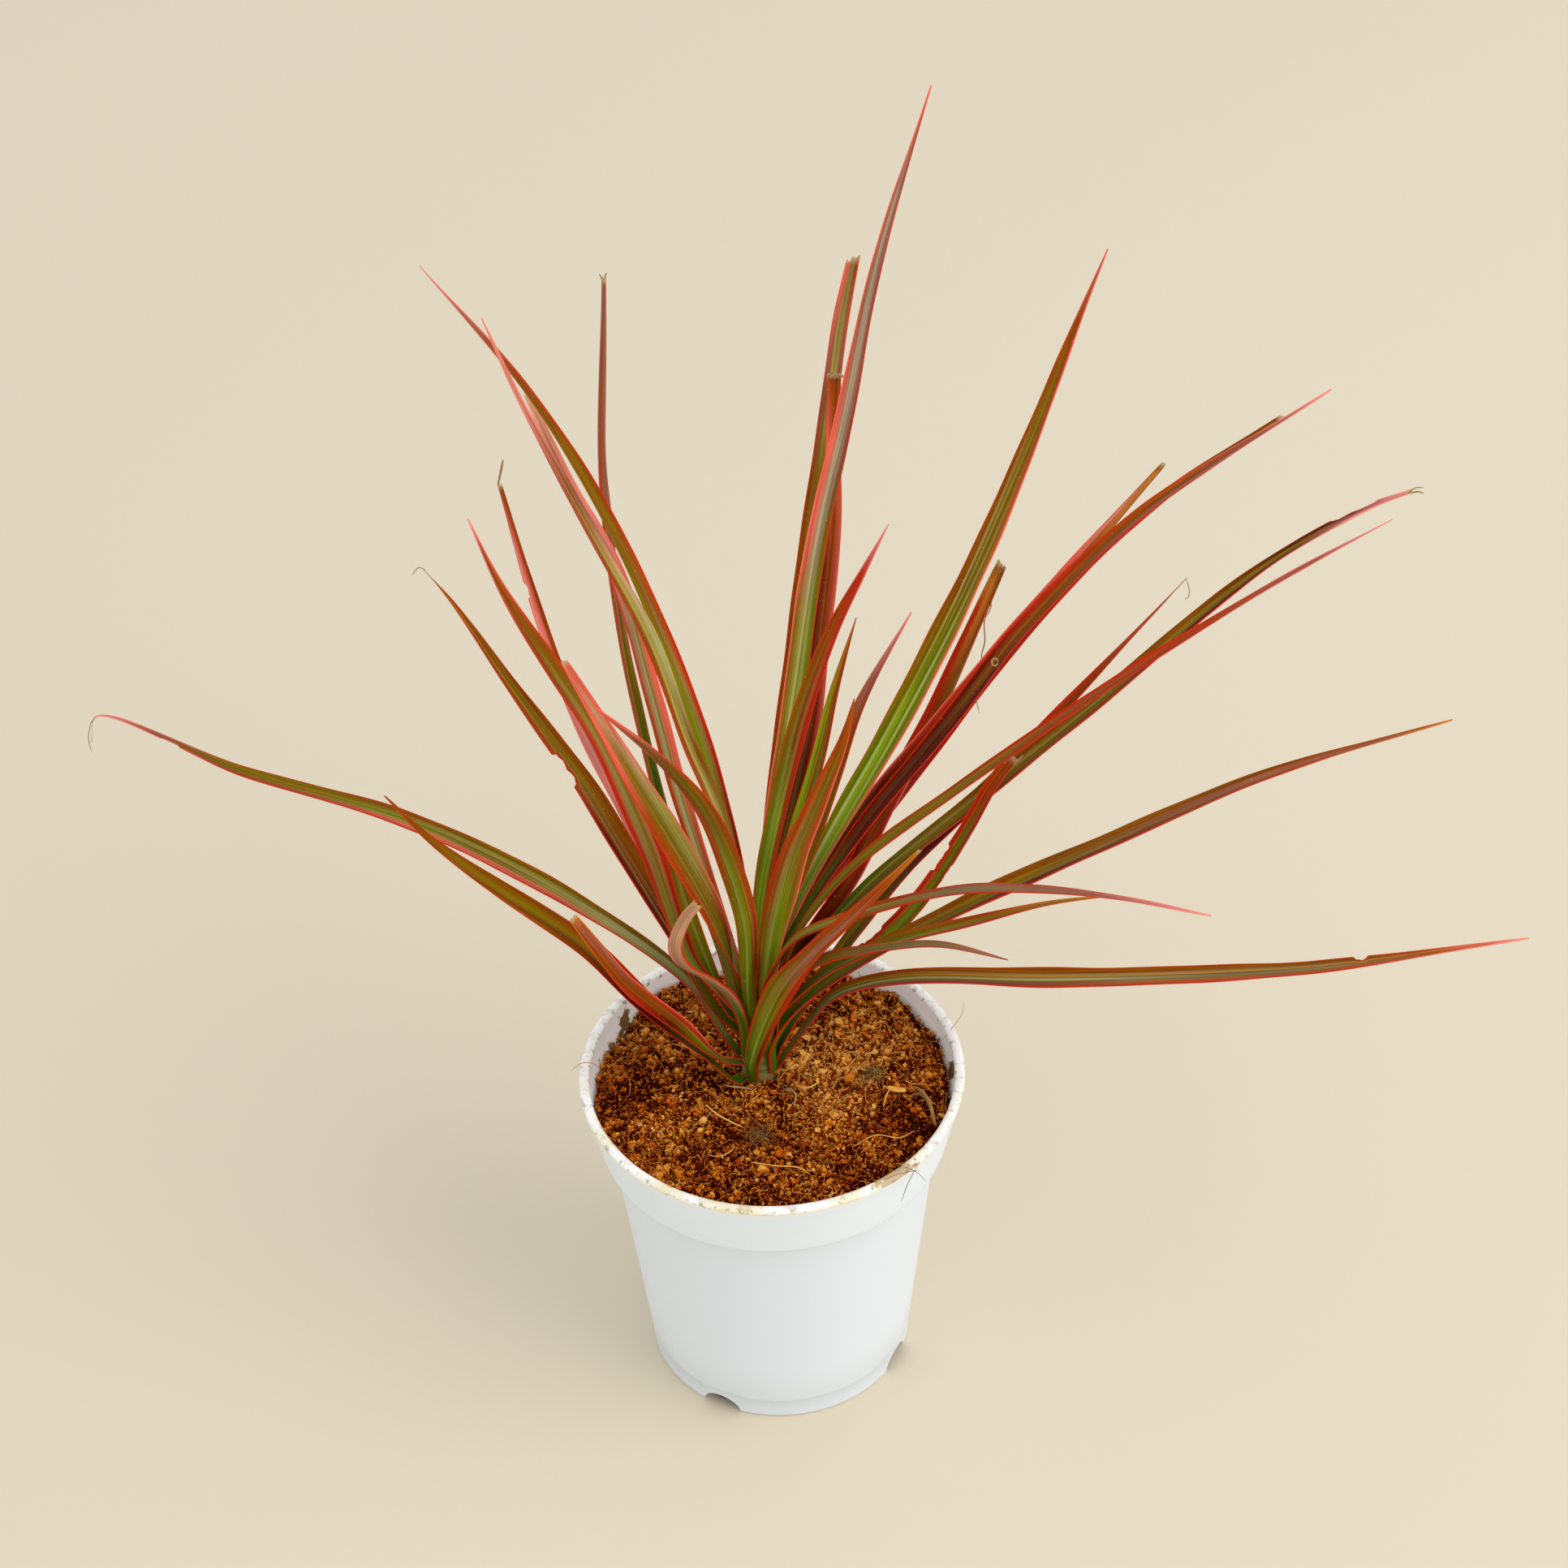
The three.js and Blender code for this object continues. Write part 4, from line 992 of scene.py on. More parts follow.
def moulded_polypropylene():
    """Nursery pot: injection-moulded white polypropylene. It looks satin and very slightly uneven,
    with dried mud where the rim was handled and wet coir smeared on the inner wall."""
    colours = chosen("pot_colours")
    material, surface, node = new_material("moulded_white_polypropylene")
    place = node("TexCoord", out="Object")
    right, back, up = (node("SeparateXYZ", place, out=axis) for axis in "XYZ")
    radius = node("VectorMath", node("CombineXYZ", right, back), operation="LENGTH")
    # Handling marks are 3 to 10 mm across, mud flecks 0.5 to 2 mm.
    cloud = node("TexNoise", place, Scale=90.0, Detail=5.0)
    fleck = node("TexNoise", place, Scale=420.0, Detail=4.0, Roughness=0.65)
    bead = POT_HEIGHT - RIM_BEAD_HEIGHT
    rim = node("MapRange", up, (bead - 0.2) * MM, (bead + 0.2) * MM)
    below = node("Math", 1.0, rim, operation="SUBTRACT")
    # The rim is stained most at the front.
    front = node("MapRange", back, 10 * MM, -30 * MM, 0.1, 0.8)
    stain = node("Math", node("MapRange", cloud, 0.46, 0.62), front, operation="MULTIPLY")
    # Most flecks sit on the rim's lower edge.
    off = node("Math", node("Math", up, (bead + 0.8) * MM, operation="SUBTRACT"), operation="ABSOLUTE")
    flecks = node("Math", node("MapRange", off, 1.2 * MM, 0.4 * MM), 0.7, operation="MULTIPLY")
    # The inner face counts from 5 mm below the mix's top. It is painted in the lighter rim colour, as
    # painted light for the light that comes through the thin wall.
    foot, slope = PARTING_CONE
    cone = node("Math", up, -slope, radius, operation="MULTIPLY_ADD")
    shown = node("MapRange", up, (MIX_TOP - 5.5) * MM, (MIX_TOP - 4.5) * MM)
    inner = node("MapRange", cone, foot * MM, (foot - 0.3) * MM)
    inner = node("Math", inner, shown, operation="MULTIPLY")
    # Smears thin out from the mix's top upwards.
    lower = node("Math", up, -60.0, 5.5, operation="MULTIPLY_ADD")
    smear = node("MapRange", node("Math", fleck, lower, operation="ADD"), 0.62, 0.75)
    smear = node("Math", inner, smear, operation="MULTIPLY")
    for spot in SMEARED_SPOTS:
        smear = node("Math", smear, blot(node, place, fleck, spot), operation="MAXIMUM")
    smear = node("Math", smear, inner, operation="MULTIPLY")
    # A line half a millimetre wide under the collar is darkened in the mud colour: painted shade under
    # the collar's edge.
    under = node("Math", node("Math", up, COLLAR_BOTTOM * MM, operation="SUBTRACT"), operation="ABSOLUTE")
    line = node("MapRange", under, 0.5 * MM, 0.2 * MM, 0.0, 0.3)
    body = colours["plastic"]
    # On the inner face the rim colour is painted light, and in the line under the collar the mud colour is
    # painted shade.
    for colour, first, second in (
            ("rim", rim, 1.0), ("stain", stain, rim), ("rim", inner, below),
            ("cake", blot(node, place, fleck, CAKED_SPOT), rim),
            ("mud_and_shade", flecks, node("MapRange", fleck, 0.54, 0.62)),
            ("mud_and_shade", smear, below), ("mud_and_shade", line, 1.0)):
        share = node("Math", first, second, operation="MULTIPLY")
        body = node("Mix", share, body, colours[colour], data_type="RGBA")
    # Light passes through the thin wall, so its shaded side looks bright.
    fill(surface, {
        "Base Color": body, "Roughness": node("Math", cloud, 0.2, 0.32, operation="MULTIPLY_ADD"),
        "IOR": 1.49, "Subsurface Weight": 0.5, "Subsurface Radius": (1.0, 1.0, 1.0),
        "Subsurface Scale": 3 * MM,
        "Normal": node("Bump", Height=cloud, Strength=0.15, Distance=0.4 * MM)})
    return material


class PLANT_OT_pot(bpy.types.Operator):
    """Make the nursery pot with its rolled rim and drain notches"""

    bl_idname = "plant.pot"
    bl_label = "Pot"

    def execute(self, context):
        pot = new_piece("nursery_pot", *turned(pot_profile(), POT_SEGMENTS), moulded_polypropylene(),
                        "pot_plastic")
        cutter_mesh = bpy.data.meshes.new("notches")
        points, faces = notch_cutter()
        cutter_mesh.from_pydata((points * MM).tolist(), [], faces)
        cutter = bpy.data.objects.new("notches", cutter_mesh)
        context.scene.collection.objects.link(cutter)
        cut = pot.modifiers.new("notches", "BOOLEAN")
        cut.operation, cut.object, cut.solver = "DIFFERENCE", cutter, "EXACT"
        shaped = pot.evaluated_get(context.evaluated_depsgraph_get())
        mesh = bpy.data.meshes.new_from_object(shaped)
        pot.modifiers.clear()
        pot.data = mesh
        bpy.data.objects.remove(cutter)
        mesh.polygons.foreach_set("use_smooth", np.ones(len(mesh.polygons), bool))
        mesh.set_sharp_from_angle(angle=np.radians(35))
        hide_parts("pot")
        return {"FINISHED"}


def ripples(x, y, rng, longest, shortest, count):
    """A sum of plane waves of random heading, lower the shorter they are, between about -1 and 1."""
    wave_length = longest * (shortest / longest) ** rng.uniform(0, 1, count)
    heading = rng.uniform(0, 2 * np.pi, count)
    phase = rng.uniform(0, 2 * np.pi, count)
    turns = 2 * np.pi / wave_length
    across = x[..., None] * turns * np.cos(heading) + y[..., None] * turns * np.sin(heading)
    height = np.sin(across + phase)
    weight = wave_length ** 0.7
    return (height * weight).sum(-1) / np.sqrt((weight ** 2).sum() * 2)


def mix_height(x, y):
    """Height of the potting mix: the solid's slow roll and edge dip, with crumbly waves on it and
    one sunk spot."""
    radius = np.hypot(x, y)
    edge = inner_radius(MIX_TOP - MIX_EDGE_DROP) - MIX_GAP
    roll = np.sin(x / 5.3 + 1) * np.cos(y / 6.1) + 0.6 * np.sin((x - y) / 3.7)
    lump = MIX_LUMP * roll * smooth(radius, 9, 16)
    rng = np.random.default_rng(7)
    crumb = 0.9 * ripples(x, y, rng, 7.0, 1.0, 40) + 0.45 * ripples(x, y, rng, 1.8, 0.6, 40)
    right, back, reach, depth = SUNK_SPOT
    sunk = depth * np.exp(-((x - right) ** 2 + (y - back) ** 2) / reach ** 2)
    return MIX_TOP + lump + crumb - sunk - MIX_EDGE_DROP * smooth(radius / edge, 0.75, 1)


def held_inside(x, y, reach):
    """The places, with those that lie further out than the reach moved in to it."""
    pull = np.minimum(1, reach / np.hypot(x, y))
    return x * pull, y * pull


def bed_shape():
    """The filling: rings from the bottom's middle out, up the wall and in over the top. Where the top
    has sunk, its edge follows the wall inwards."""
    edge = inner_radius(MIX_TOP - MIX_EDGE_DROP) - MIX_GAP
    outline = np.array([
        (inner_radius(FOOT_LINE) - MIX_GAP, MIX_BOTTOM), (inner_radius(FOOT_LINE) - MIX_GAP, FOOT_LINE),
        (inner_radius(COLLAR_BOTTOM) - MIX_GAP, COLLAR_BOTTOM - 1), (edge - 0.6, MIX_TOP - 6)])
    side = round_shape(outline[:, :1], outline[:, 1:], BED_SEGMENTS)
    radii = edge * np.linspace(1, 0, BED_RINGS, endpoint=False)
    x, y, _ = np.moveaxis(round_shape(radii[:, None], 0.0, BED_SEGMENTS), -1, 0)
    height = mix_height(x, y)
    wall = (COLLAR_BOTTOM, POT_HEIGHT - RIM_LIP_HEIGHT)
    reach = np.interp(height, wall, [inner_radius(z) - MIX_GAP for z in wall])
    top = np.stack([*held_inside(x, y, reach), height], -1)
    middle = mix_height(np.zeros(1), np.zeros(1))[0]
    return capped((0, 0, MIX_BOTTOM), np.concatenate([side, top]), (0, 0, middle))


def damp_coir():
    """Potting mix: damp coir dust and chopped fibre. It looks matt, from near black-brown in the gaps
    to sandy on the dry crumbs, with a grey-green film in two places. The black-brown of the gaps is
    partly painted shade."""
    colours = chosen("mix_colours")
    material, surface, node = new_material("damp_coir")
    place = node("TexCoord", out="Object")
    # Damp patches are 10 to 20 mm across, grains about 1 mm and dust 0.3 mm.
    patch = node("TexNoise", place, Scale=60.0, Detail=3.0)
    grain = node("TexNoise", place, Scale=700.0, Detail=4.0, Roughness=0.7)
    tone, film = (node("Attribute", attribute_name=name, out="Fac") for name in ("tone", "film"))
    for pattern, strength, shift in ((grain, 0.9, -0.47), (patch, 0.7, -0.35)):
        change = node("Math", pattern, strength, shift, operation="MULTIPLY_ADD")
        tone = node("Math", tone, change, operation="ADD")
    body = node("ValToRGB", tone, ramp=[(0.12, colours["dark"]), (0.4, colours["body"]),
                                        (0.74, colours["light"]), (1.0, colours["fibre"])])
    fill(surface, {
        "Base Color": node("Mix", film, body, colours["algae"], data_type="RGBA"),
        "Roughness": 0.95, "Specular IOR Level": 0.04,
        "Normal": node("Bump", Height=grain, Strength=0.8, Distance=0.6 * MM)})
    return material


def spot_tone(points):
    """Change of tone at points: a bell round each damper or drier spot, added up."""
    change = np.zeros(len(points))
    for x, y, radius, amount in TONE_SPOTS:
        change += amount * np.exp(-((points[:, 0] - x) ** 2 + (points[:, 1] - y) ** 2) / radius ** 2)
    return change


def film_share(points):
    """Share of the grey-green film at points: it falls smoothly to nothing at each spot's radius."""
    share = np.zeros(len(points))
    for x, y, radius in FILM_SPOTS:
        distance = np.hypot(points[:, 0] - x, points[:, 1] - y) / radius
        share = np.maximum(share, FILM_STRENGTH * (1 - smooth(distance, 0.3, 1)))
    return share


def icosahedron():
    """The 12 corners and 20 faces of a regular icosahedron with a radius of 1."""
    golden = (1 + 5 ** 0.5) / 2
    points = np.array([(-1, golden, 0), (1, golden, 0), (-1, -golden, 0), (1, -golden, 0),
                       (0, -1, golden), (0, 1, golden), (0, -1, -golden), (0, 1, -golden),
                       (golden, 0, -1), (golden, 0, 1), (-golden, 0, -1), (-golden, 0, 1)])
    faces = np.array([(0, 11, 5), (0, 5, 1), (0, 1, 7), (0, 7, 10), (0, 10, 11), (1, 5, 9),
                      (5, 11, 4), (11, 10, 2), (10, 7, 6), (7, 1, 8), (3, 9, 4), (3, 4, 2),
                      (3, 2, 6), (3, 6, 8), (3, 8, 9), (4, 9, 5), (2, 4, 11), (6, 2, 10),
                      (8, 6, 7), (9, 8, 1)])
    return points / np.hypot(1, golden), faces


def turned_at_random(rng, count):
    """Rotation matrices from random unit quaternions."""
    q = rng.normal(size=(count, 4))
    w, x, y, z = (q / np.linalg.norm(q, axis=1, keepdims=True)).T
    return np.stack([
        1 - 2 * (y * y + z * z), 2 * (x * y - z * w), 2 * (x * z + y * w),
        2 * (x * y + z * w), 1 - 2 * (x * x + z * z), 2 * (y * z - x * w),
        2 * (x * z - y * w), 2 * (y * z + x * w), 1 - 2 * (x * x + y * y)], -1).reshape(-1, 3, 3)


def crumb_shapes(rng, middles, sizes):
    """Lumps: twenty-sided balls, each corner moved in or out, stretched and turned at random. Rows of
    corners, one row for each lump, and the faces of them all."""
    corners, sides = icosahedron()
    count = len(middles)
    radius = rng.uniform(0.35, 1.5, (count, len(corners), 1))
    stretch = rng.uniform(0.25, 1.8, (count, 1, 3))
    lumps = corners * radius * stretch * sizes[:, None, None]
    lumps = np.einsum("nij,nkj->nki", turned_at_random(rng, count), lumps) + middles[:, None]
    faces = sides[None] + np.arange(count)[:, None, None] * len(corners)
    return lumps, faces.reshape(-1, 3)


def strewn(rng, reach, count):
    """Places strewn evenly over a disc: the reach times the root of an even draw, at any angle."""
    radius, angle = reach * np.sqrt(rng.uniform(0, 1, count)), rng.uniform(0, 2 * np.pi, count)
    return np.stack([radius * np.cos(angle), radius * np.sin(angle)], -1)


def build_crumbs(name, rng, count, size, material):
    """Crumbs of about the given radius in mm. They lie in clumps that are raised in the middle, the
    wide ones so loose that their crumbs look strewn. Each crumb is painted lighter towards its top and
    darker towards its bottom, as painted shade."""
    reach = inner_radius(MIX_TOP) - MIX_GAP - 0.5
    centres = strewn(rng, reach, CLUMPS)
    clump = rng.integers(0, CLUMPS, count)
    offset = rng.normal(0, 1, (count, 2)) * rng.uniform(0.7, 2.6, CLUMPS)[clump][:, None]
    x, y = held_inside(*(centres[clump] + offset).T, reach)
    rise = rng.uniform(0, 1.1, CLUMPS)[clump] * np.exp(-(offset ** 2).sum(1) / 2.5)
    sizes = np.minimum(size * (0.45 + rng.gamma(2.0, 0.28, count)), LARGEST_CRUMB)
    middles = np.stack([x, y, mix_height(x, y) + rise + sizes * rng.uniform(-0.2, 0.5, count)], -1)
    lumps, faces = crumb_shapes(rng, middles, sizes)
    tone = rng.normal(0.43, 0.09, CLUMPS)[clump] + rng.normal(0, 0.15, count) + 0.12 * rise
    # Painted shade: each corner of a crumb is lighter the higher it lies in that crumb.
    climb = (lumps[..., 2] - middles[:, 2:]) / sizes[:, None]
    points = lumps.reshape(-1, 3)
    tone = np.clip((tone[:, None] + 0.24 * climb).ravel() + spot_tone(points), 0, 1)
    new_piece(name, points, faces.tolist(), material, "potting_mix",
              {"tone": tone, "film": film_share(points)}, flat=True)


def tubes(paths, radii, sides, flatness=1.0):
    """Closed tubes along paths of equal length: flattened circles that taper to both ends."""
    count, steps, _ = paths.shape
    along = np.gradient(paths, axis=1)
    along /= np.linalg.norm(along, axis=2, keepdims=True)
    up = np.where(np.abs(along[..., 2:]) > 0.9, [1.0, 0.0, 0.0], [0.0, 0.0, 1.0])
    across = np.cross(along, up)
    across /= np.linalg.norm(across, axis=2, keepdims=True)
    third = np.cross(along, across)
    angle = np.arange(sides)[:, None] / sides * 2 * np.pi
    taper = np.sqrt(np.clip(1 - np.linspace(-1, 1, steps) ** 4, 0.05, 1))
    ring = across[:, :, None] * np.cos(angle) + third[:, :, None] * np.sin(angle) * flatness
    points = paths[:, :, None] + ring * (radii[:, None] * taper)[..., None, None]
    starts = np.arange(count) * steps * sides
    faces = (ring_faces(steps, sides)[None] + starts[:, None, None]).reshape(-1, 4).tolist()
    first = np.arange(sides)[::-1]
    last = np.arange(sides) + (steps - 1) * sides
    for start in starts:
        faces += [(first + start).tolist(), (last + start).tolist()]
    return points.reshape(-1, 3), faces


def build_fibres(rng, count, material):
    """Loose fibres: curved threads, mostly 1 to 4 mm long, that lie on the mix and arch over its
    lumps. The heading turns at a steady rate along each of them."""
    reach = inner_radius(MIX_TOP) - 1.4
    middle = strewn(rng, reach, count)
    heading = rng.uniform(0, 2 * np.pi, count)
    bend = rng.normal(0, 0.55, count)
    length = 1.2 + rng.gamma(1.2, 1.5, count)
    # One in eight lies tangled in the grey-green spots.
    spot = np.array(FILM_SPOTS)[rng.integers(0, len(FILM_SPOTS), count)]
    tangled = np.arange(count) % 8 == 0
    near = spot[:, :2] + rng.normal(0, 0.4, (count, 2)) * spot[:, 2:]
    middle = np.where(tangled[:, None], near, middle)
    length = np.where(tangled, np.minimum(length, 3), length)
    step = np.linspace(0, 1, FIBRE_STEPS)
    turn = heading[:, None] + bend[:, None] * step * 3
    x = middle[:, :1] + np.cumsum(np.cos(turn), axis=1) * length[:, None] / FIBRE_STEPS
    y = middle[:, 1:] + np.cumsum(np.sin(turn), axis=1) * length[:, None] / FIBRE_STEPS
    x, y = held_inside(x, y, reach)
    arch = rng.uniform(0.1, 1.1, count)[:, None] * np.sin(np.pi * step)
    z = mix_height(x, y) + 0.7 + arch
    z = (z + np.roll(z, 1, 1) + np.roll(z, -1, 1)) / 3
    paths = np.stack([x, y, z], -1)[:, 1:-1]
    sides = 3
    points, faces = tubes(paths, rng.uniform(0.06, 0.14, count), sides)
    each = paths.shape[1] * sides
    tone = np.repeat(rng.uniform(0.5, 0.95, count), each) + spot_tone(points)
    film = film_share(points) * np.repeat(tangled, each)
    new_piece("coir_fibres", points, faces, material, "potting_mix", {"tone": tone, "film": film})


# Larger bits on the mix: radius, flatness, tone, film and places in mm.
LITTER = (
    (0.9, 0.4, 0.95, 0.0, [(29.6, -5.2, 94.2), (31.9, -6.4, 94.4), (34.6, -6.4, 94)]),
    (0.2, 1.0, 0.95, 0.0, [(30.2, -6.2, 94.4), (29, -9.4, 94.2), (28.4, -12, 93.8)]),
    (0.5, 0.5, 0.9, 0.7, [(36.4, -5.6, 94.6), (38.4, -8, 95.2), (40.2, -12, 95), (41, -16.4, 94.2),
                          (41.4, -19, 93.6)]),
    (0.4, 0.5, 0.7, 0.9, [(35.4, -8.4, 94), (37.6, -8.6, 94.8), (39.4, -10.6, 94.8), (40.6, -14, 94)]),
    (1.3, 0.8, 0.55, 0.0, [(18.8, -0.6, 93.4), (20, -1, 93.7), (21.2, -1.2, 93.4)]),
    (0.09, 1.0, 0.1, 0.5, [(36, -35.6, 96.9), (34, -38.4, 95), (32.6, -40, 92.4), (31.6, -41.2, 89.6)]),
    (0.07, 1.0, 0.5, 0.6, [(27, -40.6, 97.2), (30.4, -39.4, 97.6), (34.4, -37.4, 96.6), (37, -35.6, 94.6)]),
    (0.08, 1.0, 0.8, 0.5, [(-30, -37, 93), (-36, -30, 94.6), (-42, -22, 96.4), (-46, -14, 98.4)]),
    (0.24, 1.0, 0.95, 0.0, [(-17.4, -9.6, 94.4), (-14, -14, 94.8), (-9.6, -17, 94.4), (-7.6, -18, 94)]),
    (0.08, 1.0, 0.7, 0.4, [(-43.6, 3, 94.4), (-46.6, 3.6, 97.4), (-49.6, 2.2, 98.8), (-52, -1, 99.2)]),
    (0.07, 1.0, 0.7, 0.4, [(44, 10, 94.4), (48, 13, 97.6), (50.4, 16.4, 98.8), (51, 20, 99.6)]),
    (0.07, 1.0, 0.2, 0.6, [(30, -33, 94), (33.4, -37, 97.4), (35.8, -39.6, 98.2), (38, -41.6, 97)]),
    (0.2, 1.0, 0.9, 0.0, [(-6, -30, 94), (0, -32.4, 94.9), (6, -33, 94.6), (9, -35, 94)]),
    (0.16, 1.0, 0.9, 0.0, [(20, -26, 94), (26, -23, 95), (32, -24, 94.8), (36, -21, 94.2)]),
    (0.12, 1.0, 0.9, 0.0, [(-35.2, 16.3, 92), (-35.1, 16, 94), (-35.4, 15.6, 96.4), (-35.5, 15.2, 98)]),
    (0.1, 1.0, 0.9, 0.0, [(-30, 12, 93.4), (-26, 12.6, 94.6), (-22, 11, 94.6), (-18, 8, 93.8)]),
    (0.12, 1.0, 1.0, 0.0, [(-17, -27, 94), (-14, -29, 95.4), (-11.4, -28, 95.6), (-10, -25, 94.4)]),
    (0.2, 1.0, 1.0, 0.0, [(6, -4, 94.6), (9, -6, 95.6), (11.6, -4.6, 95.8), (12, -2, 94.8)]),
)


def build_litter(material):
    """A chip, a curled strip, a lump and long fibres, some over the rim: flattened tubes."""
    shares = np.linspace(0, 1, 24)
    parts, faces, tone, film = [], [], [], []
    for radius, flatness, shade, grey, places in LITTER:
        path = path_through(places, shares)[0]
        points, quads = tubes(path[None], np.array([radius]), 8, flatness)
        faces += [[corner + sum(map(len, parts)) for corner in quad] for quad in quads]
        parts.append(points)
        tone.append(np.full(len(points), shade))
        film.append(np.full(len(points), grey))
    new_piece("coir_litter", np.vstack(parts), faces, material, "potting_mix",
              {"tone": np.concatenate(tone), "film": np.concatenate(film)})


class PLANT_OT_mix(bpy.types.Operator):
    """Make the bed of coir, its loose crumbs, its fibres and its litter"""

    bl_idname = "plant.mix"
    bl_label = "Potting mix"

    def execute(self, context):
        sizes = context.scene.plant_sizes
        material = damp_coir()
        points, faces = bed_shape()
        # The bed shows only between the crumbs, so it is painted dark: painted shade in the gaps, over damp
        # coir.
        tone = 0.13 + 0.5 * spot_tone(points)
        bed = new_piece("coir_bed", points, faces, material, "potting_mix",
                        {"tone": tone, "film": film_share(points)})
        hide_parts("potting_mix")
        rng = np.random.default_rng(11)
        build_crumbs("coir_crumbs", rng, sizes.crumbs, CRUMB_RADIUS, material)
        build_crumbs("coir_grains", rng, sizes.grains, GRAIN_RADIUS, material)
        build_fibres(rng, sizes.fibres, material)
        build_litter(material)
        return {"FINISHED"}


def ringed_cane():
    """Cane of a young dragon tree: smooth green-brown bark with old leaf scars round it. It looks
    dull, with tan rings a few millimetres apart."""
    colours = chosen("leaf_colours")
    material, surface, node = new_material("ringed_cane_bark")
    place = node("TexCoord", out="Object")
    # Scars lie 2 to 3 mm apart.
    drawn = node("VectorMath", place, (60, 60, 500), operation="MULTIPLY")
    rings = node("TexNoise", drawn, Scale=1.0, Detail=3.0)
    climb = node("MapRange", node("SeparateXYZ", place, out="Z"), 90 * MM, 106 * MM)
    bark = node("ValToRGB", rings, ramp=[(0.35, linear("#5a4a22")), (0.65, linear("#a58a55"))])
    green = node("Mix", rings, colours["base"], colours["green"], data_type="RGBA")
    fill(surface, {
        "Base Color": node("Mix", climb, bark, green, data_type="RGBA"), "Roughness": 0.7,
        "Normal": node("Bump", Height=rings, Strength=0.5, Distance=0.5 * MM)})
    return material


class PLANT_OT_stem(bpy.types.Operator):
    """Make the cane with its leaf scars"""

    bl_idname = "plant.stem"
    bl_label = "Stem"

    def execute(self, context):
        heights = np.arange(CANE_BOTTOM + 6, CANE_TOP, 0.5)
        scar = SCAR_HEIGHT * np.abs(np.sin(heights / SCAR_SPACING * np.pi)) ** 6
        profile = [(0, CANE_BOTTOM), (CANE_FOOT_RADIUS, CANE_BOTTOM),
                   *zip(cane_radius(heights) + scar, heights), (0, CANE_TOP + 1)]
        points, faces = turned(profile, 48)
        points[:, :2] += CANE
        stem = new_piece("ringed_cane", points, faces, ringed_cane(), "stem", sharp=40)
        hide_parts("stem")
        return {"FINISHED"}


def placed(place, right, up, back):
    """A matrix at a place, with its axes to the right, up and back."""
    return Matrix([*np.column_stack([right, up, back, place]).tolist(), (0, 0, 0, 1)])


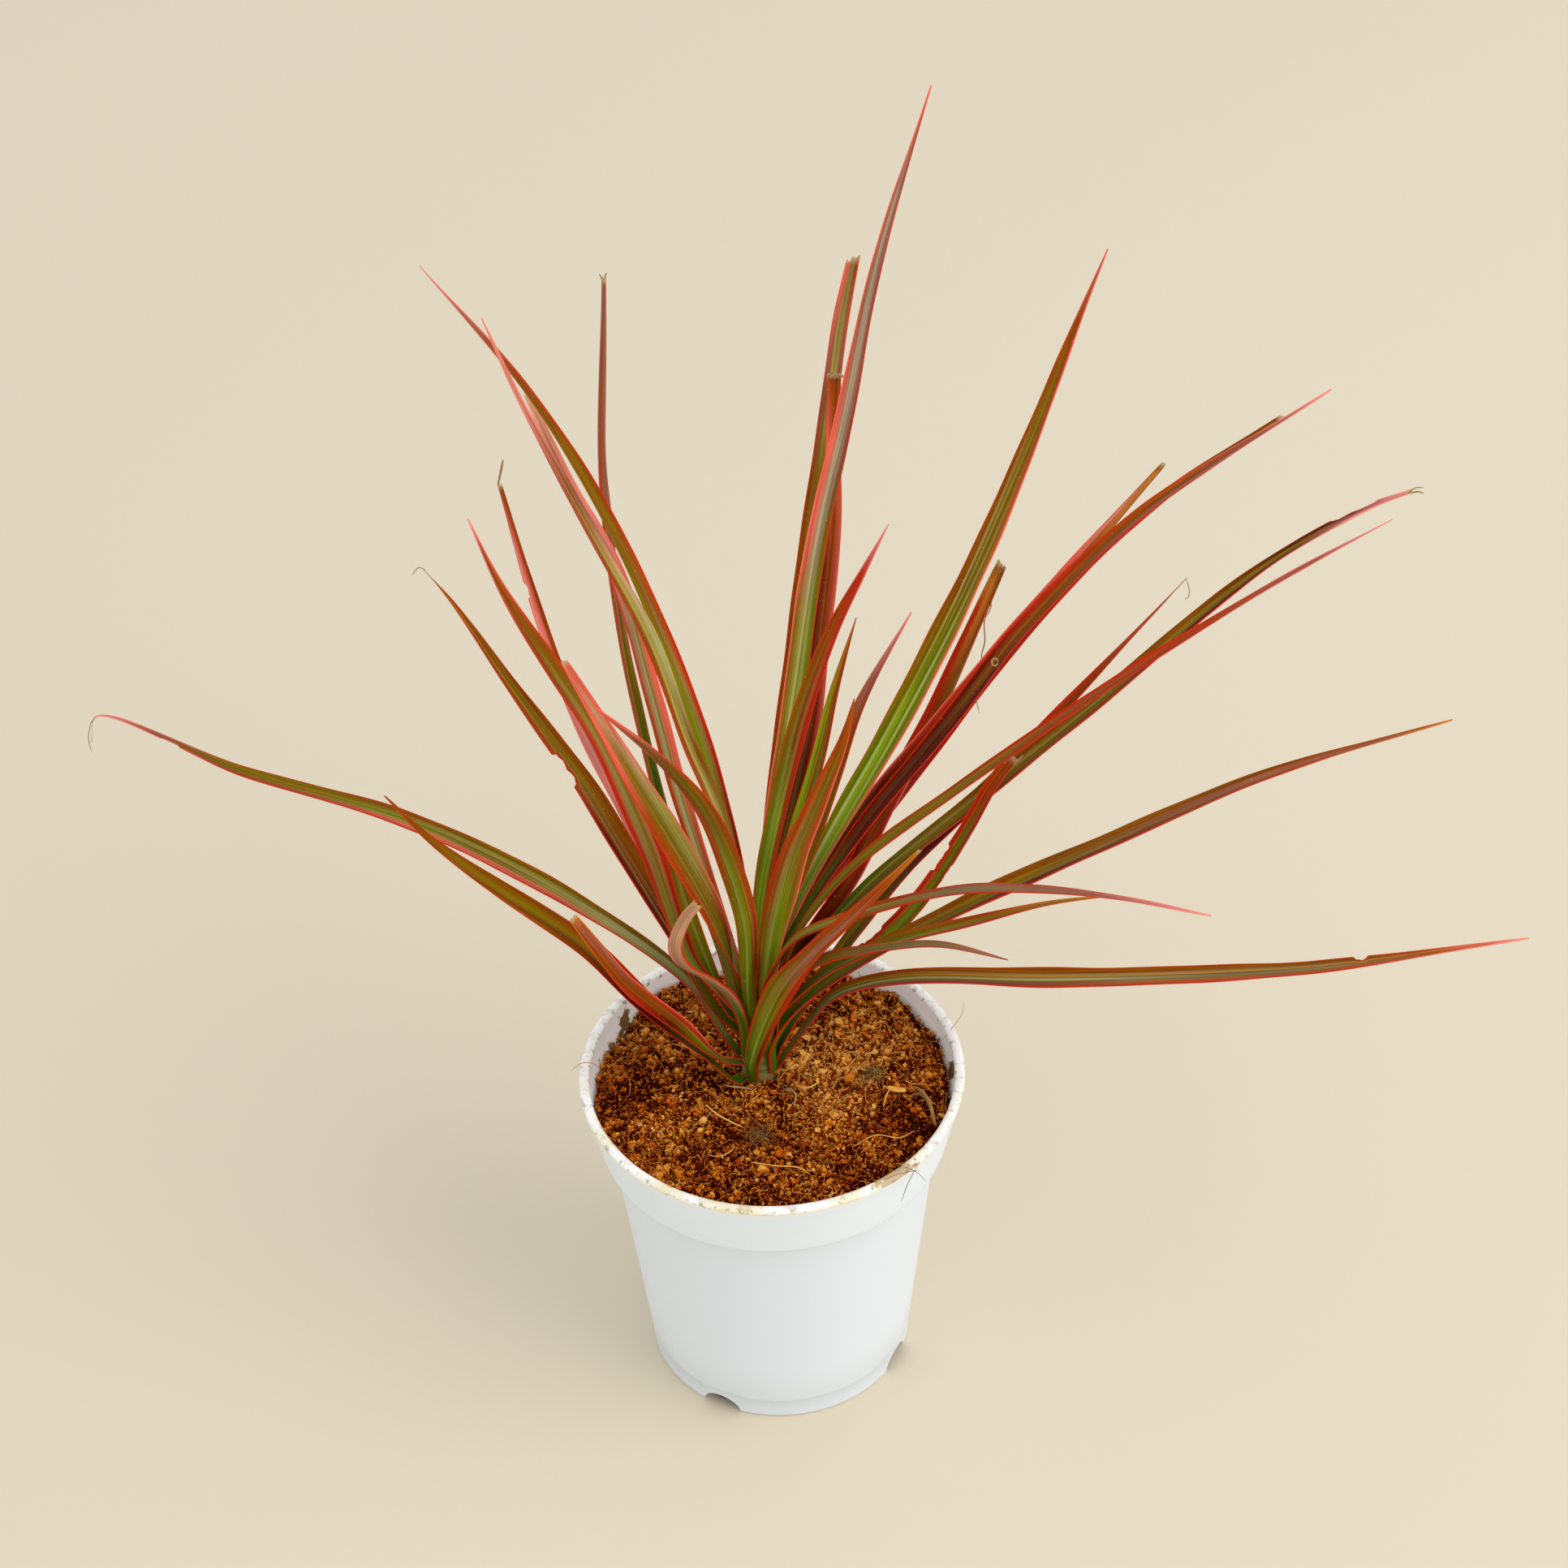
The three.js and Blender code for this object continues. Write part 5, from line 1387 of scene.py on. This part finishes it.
class PLANT_OT_stage(bpy.types.Operator):
    """Make the floor, the soft light and the camera"""

    bl_idname = "plant.stage"
    bl_label = "Stage"

    def execute(self, context):
        self.lay_floor(context.scene)
        self.hang_lights(context.scene)
        self.set_camera(context.scene)
        return {"FINISHED"}

    def lay_floor(self, scene):
        corners = [(x * FLOOR_REACH, y * FLOOR_REACH, 0) for x, y in ((-1, -1), (1, -1), (1, 1), (-1, 1))]
        mesh = bpy.data.meshes.new("floor")
        mesh.from_pydata(corners, [], [(0, 1, 2, 3)])
        material, surface, _ = new_material("pale_screed")
        fill(surface, {"Base Color": linear("#dccdb1"), "Roughness": 0.85})
        mesh.materials.append(material)
        floor = bpy.data.objects.new("floor", mesh)
        scene.collection.objects.link(floor)

    def hang_lights(self, scene):
        scene.world = bpy.data.worlds.new("studio")
        scene.world.use_nodes = True
        fill(scene.world.node_tree.nodes["Background"],
             {"Color": SKY_COLOUR, "Strength": SKY_STRENGTH})
        light = bpy.data.lights.new("softbox", "AREA")
        light.shape, light.size, light.color = "DISK", SOFTBOX_WIDTH, SOFTBOX_COLOUR
        light.energy = SOFTBOX_POWER
        lamp = bpy.data.objects.new("softbox", light)
        scene.collection.objects.link(lamp)
        back = SOFTBOX_PLACE - SOFTBOX_TARGET
        back /= np.linalg.norm(back)
        right = np.cross([0, 0, 1], back)
        right /= np.linalg.norm(right)
        lamp.matrix_world = placed(SOFTBOX_PLACE, right, np.cross(back, right), back)
        scene.view_settings.view_transform = "Standard"

    def set_camera(self, scene):
        pitch, roll = np.radians(CAMERA_PITCH), np.radians(CAMERA_ROLL)
        back = np.array([0, -np.cos(pitch), np.sin(pitch)])
        level = np.array([1.0, 0, 0])
        upright = np.cross(back, level)
        right = np.cos(roll) * level + np.sin(roll) * upright
        up = -np.sin(roll) * level + np.cos(roll) * upright
        camera = bpy.data.objects.new("camera", bpy.data.cameras.new("camera"))
        scene.collection.objects.link(camera)
        camera.matrix_world = placed((CAMERA_TARGET + back * CAMERA_DISTANCE) * MM, right, up, back)
        camera.data.sensor_width = SENSOR
        camera.data.lens = FOCAL_PIXELS * SENSOR / IMAGE_SIDE
        camera.data.clip_start = 0.01
        camera.data.clip_end = 100
        scene.camera = camera


OPERATORS = (PLANT_OT_pot, PLANT_OT_mix, PLANT_OT_stem, PLANT_OT_leaves, PLANT_OT_stage)
GROUPS = {"leaf_colours": LeafColours, "pot_colours": PotColours, "mix_colours": MixColours,
          "plant_sizes": PlantSizes}


class PLANT_PT_panel(bpy.types.Panel):
    """Lists the pieces of the plant"""

    bl_idname = "PLANT_PT_panel"
    bl_label = "Potted dragon tree"
    bl_space_type = "VIEW_3D"
    bl_region_type = "UI"
    bl_category = "Dragon tree"

    def draw(self, context):
        for operator in OPERATORS:
            self.layout.operator(operator.bl_idname)
        for group in GROUPS:
            box = self.layout.box()
            settings = getattr(context.scene, group)
            for key in settings.__annotations__:
                box.prop(settings, key)


def register():
    for kind in (*GROUPS.values(), *OPERATORS, PLANT_PT_panel):
        bpy.utils.register_class(kind)
    for name, kind in GROUPS.items():
        setattr(bpy.types.Scene, name, bpy.props.PointerProperty(type=kind))


def unregister():
    for name in GROUPS:
        delattr(bpy.types.Scene, name)
    for kind in (PLANT_PT_panel, *OPERATORS, *GROUPS.values()):
        bpy.utils.unregister_class(kind)


def main():
    register()
    for name in ("pot", "mix", "stem", "leaves", "stage"):
        getattr(bpy.ops.plant, name)()


if __name__ == "__main__":
    main()
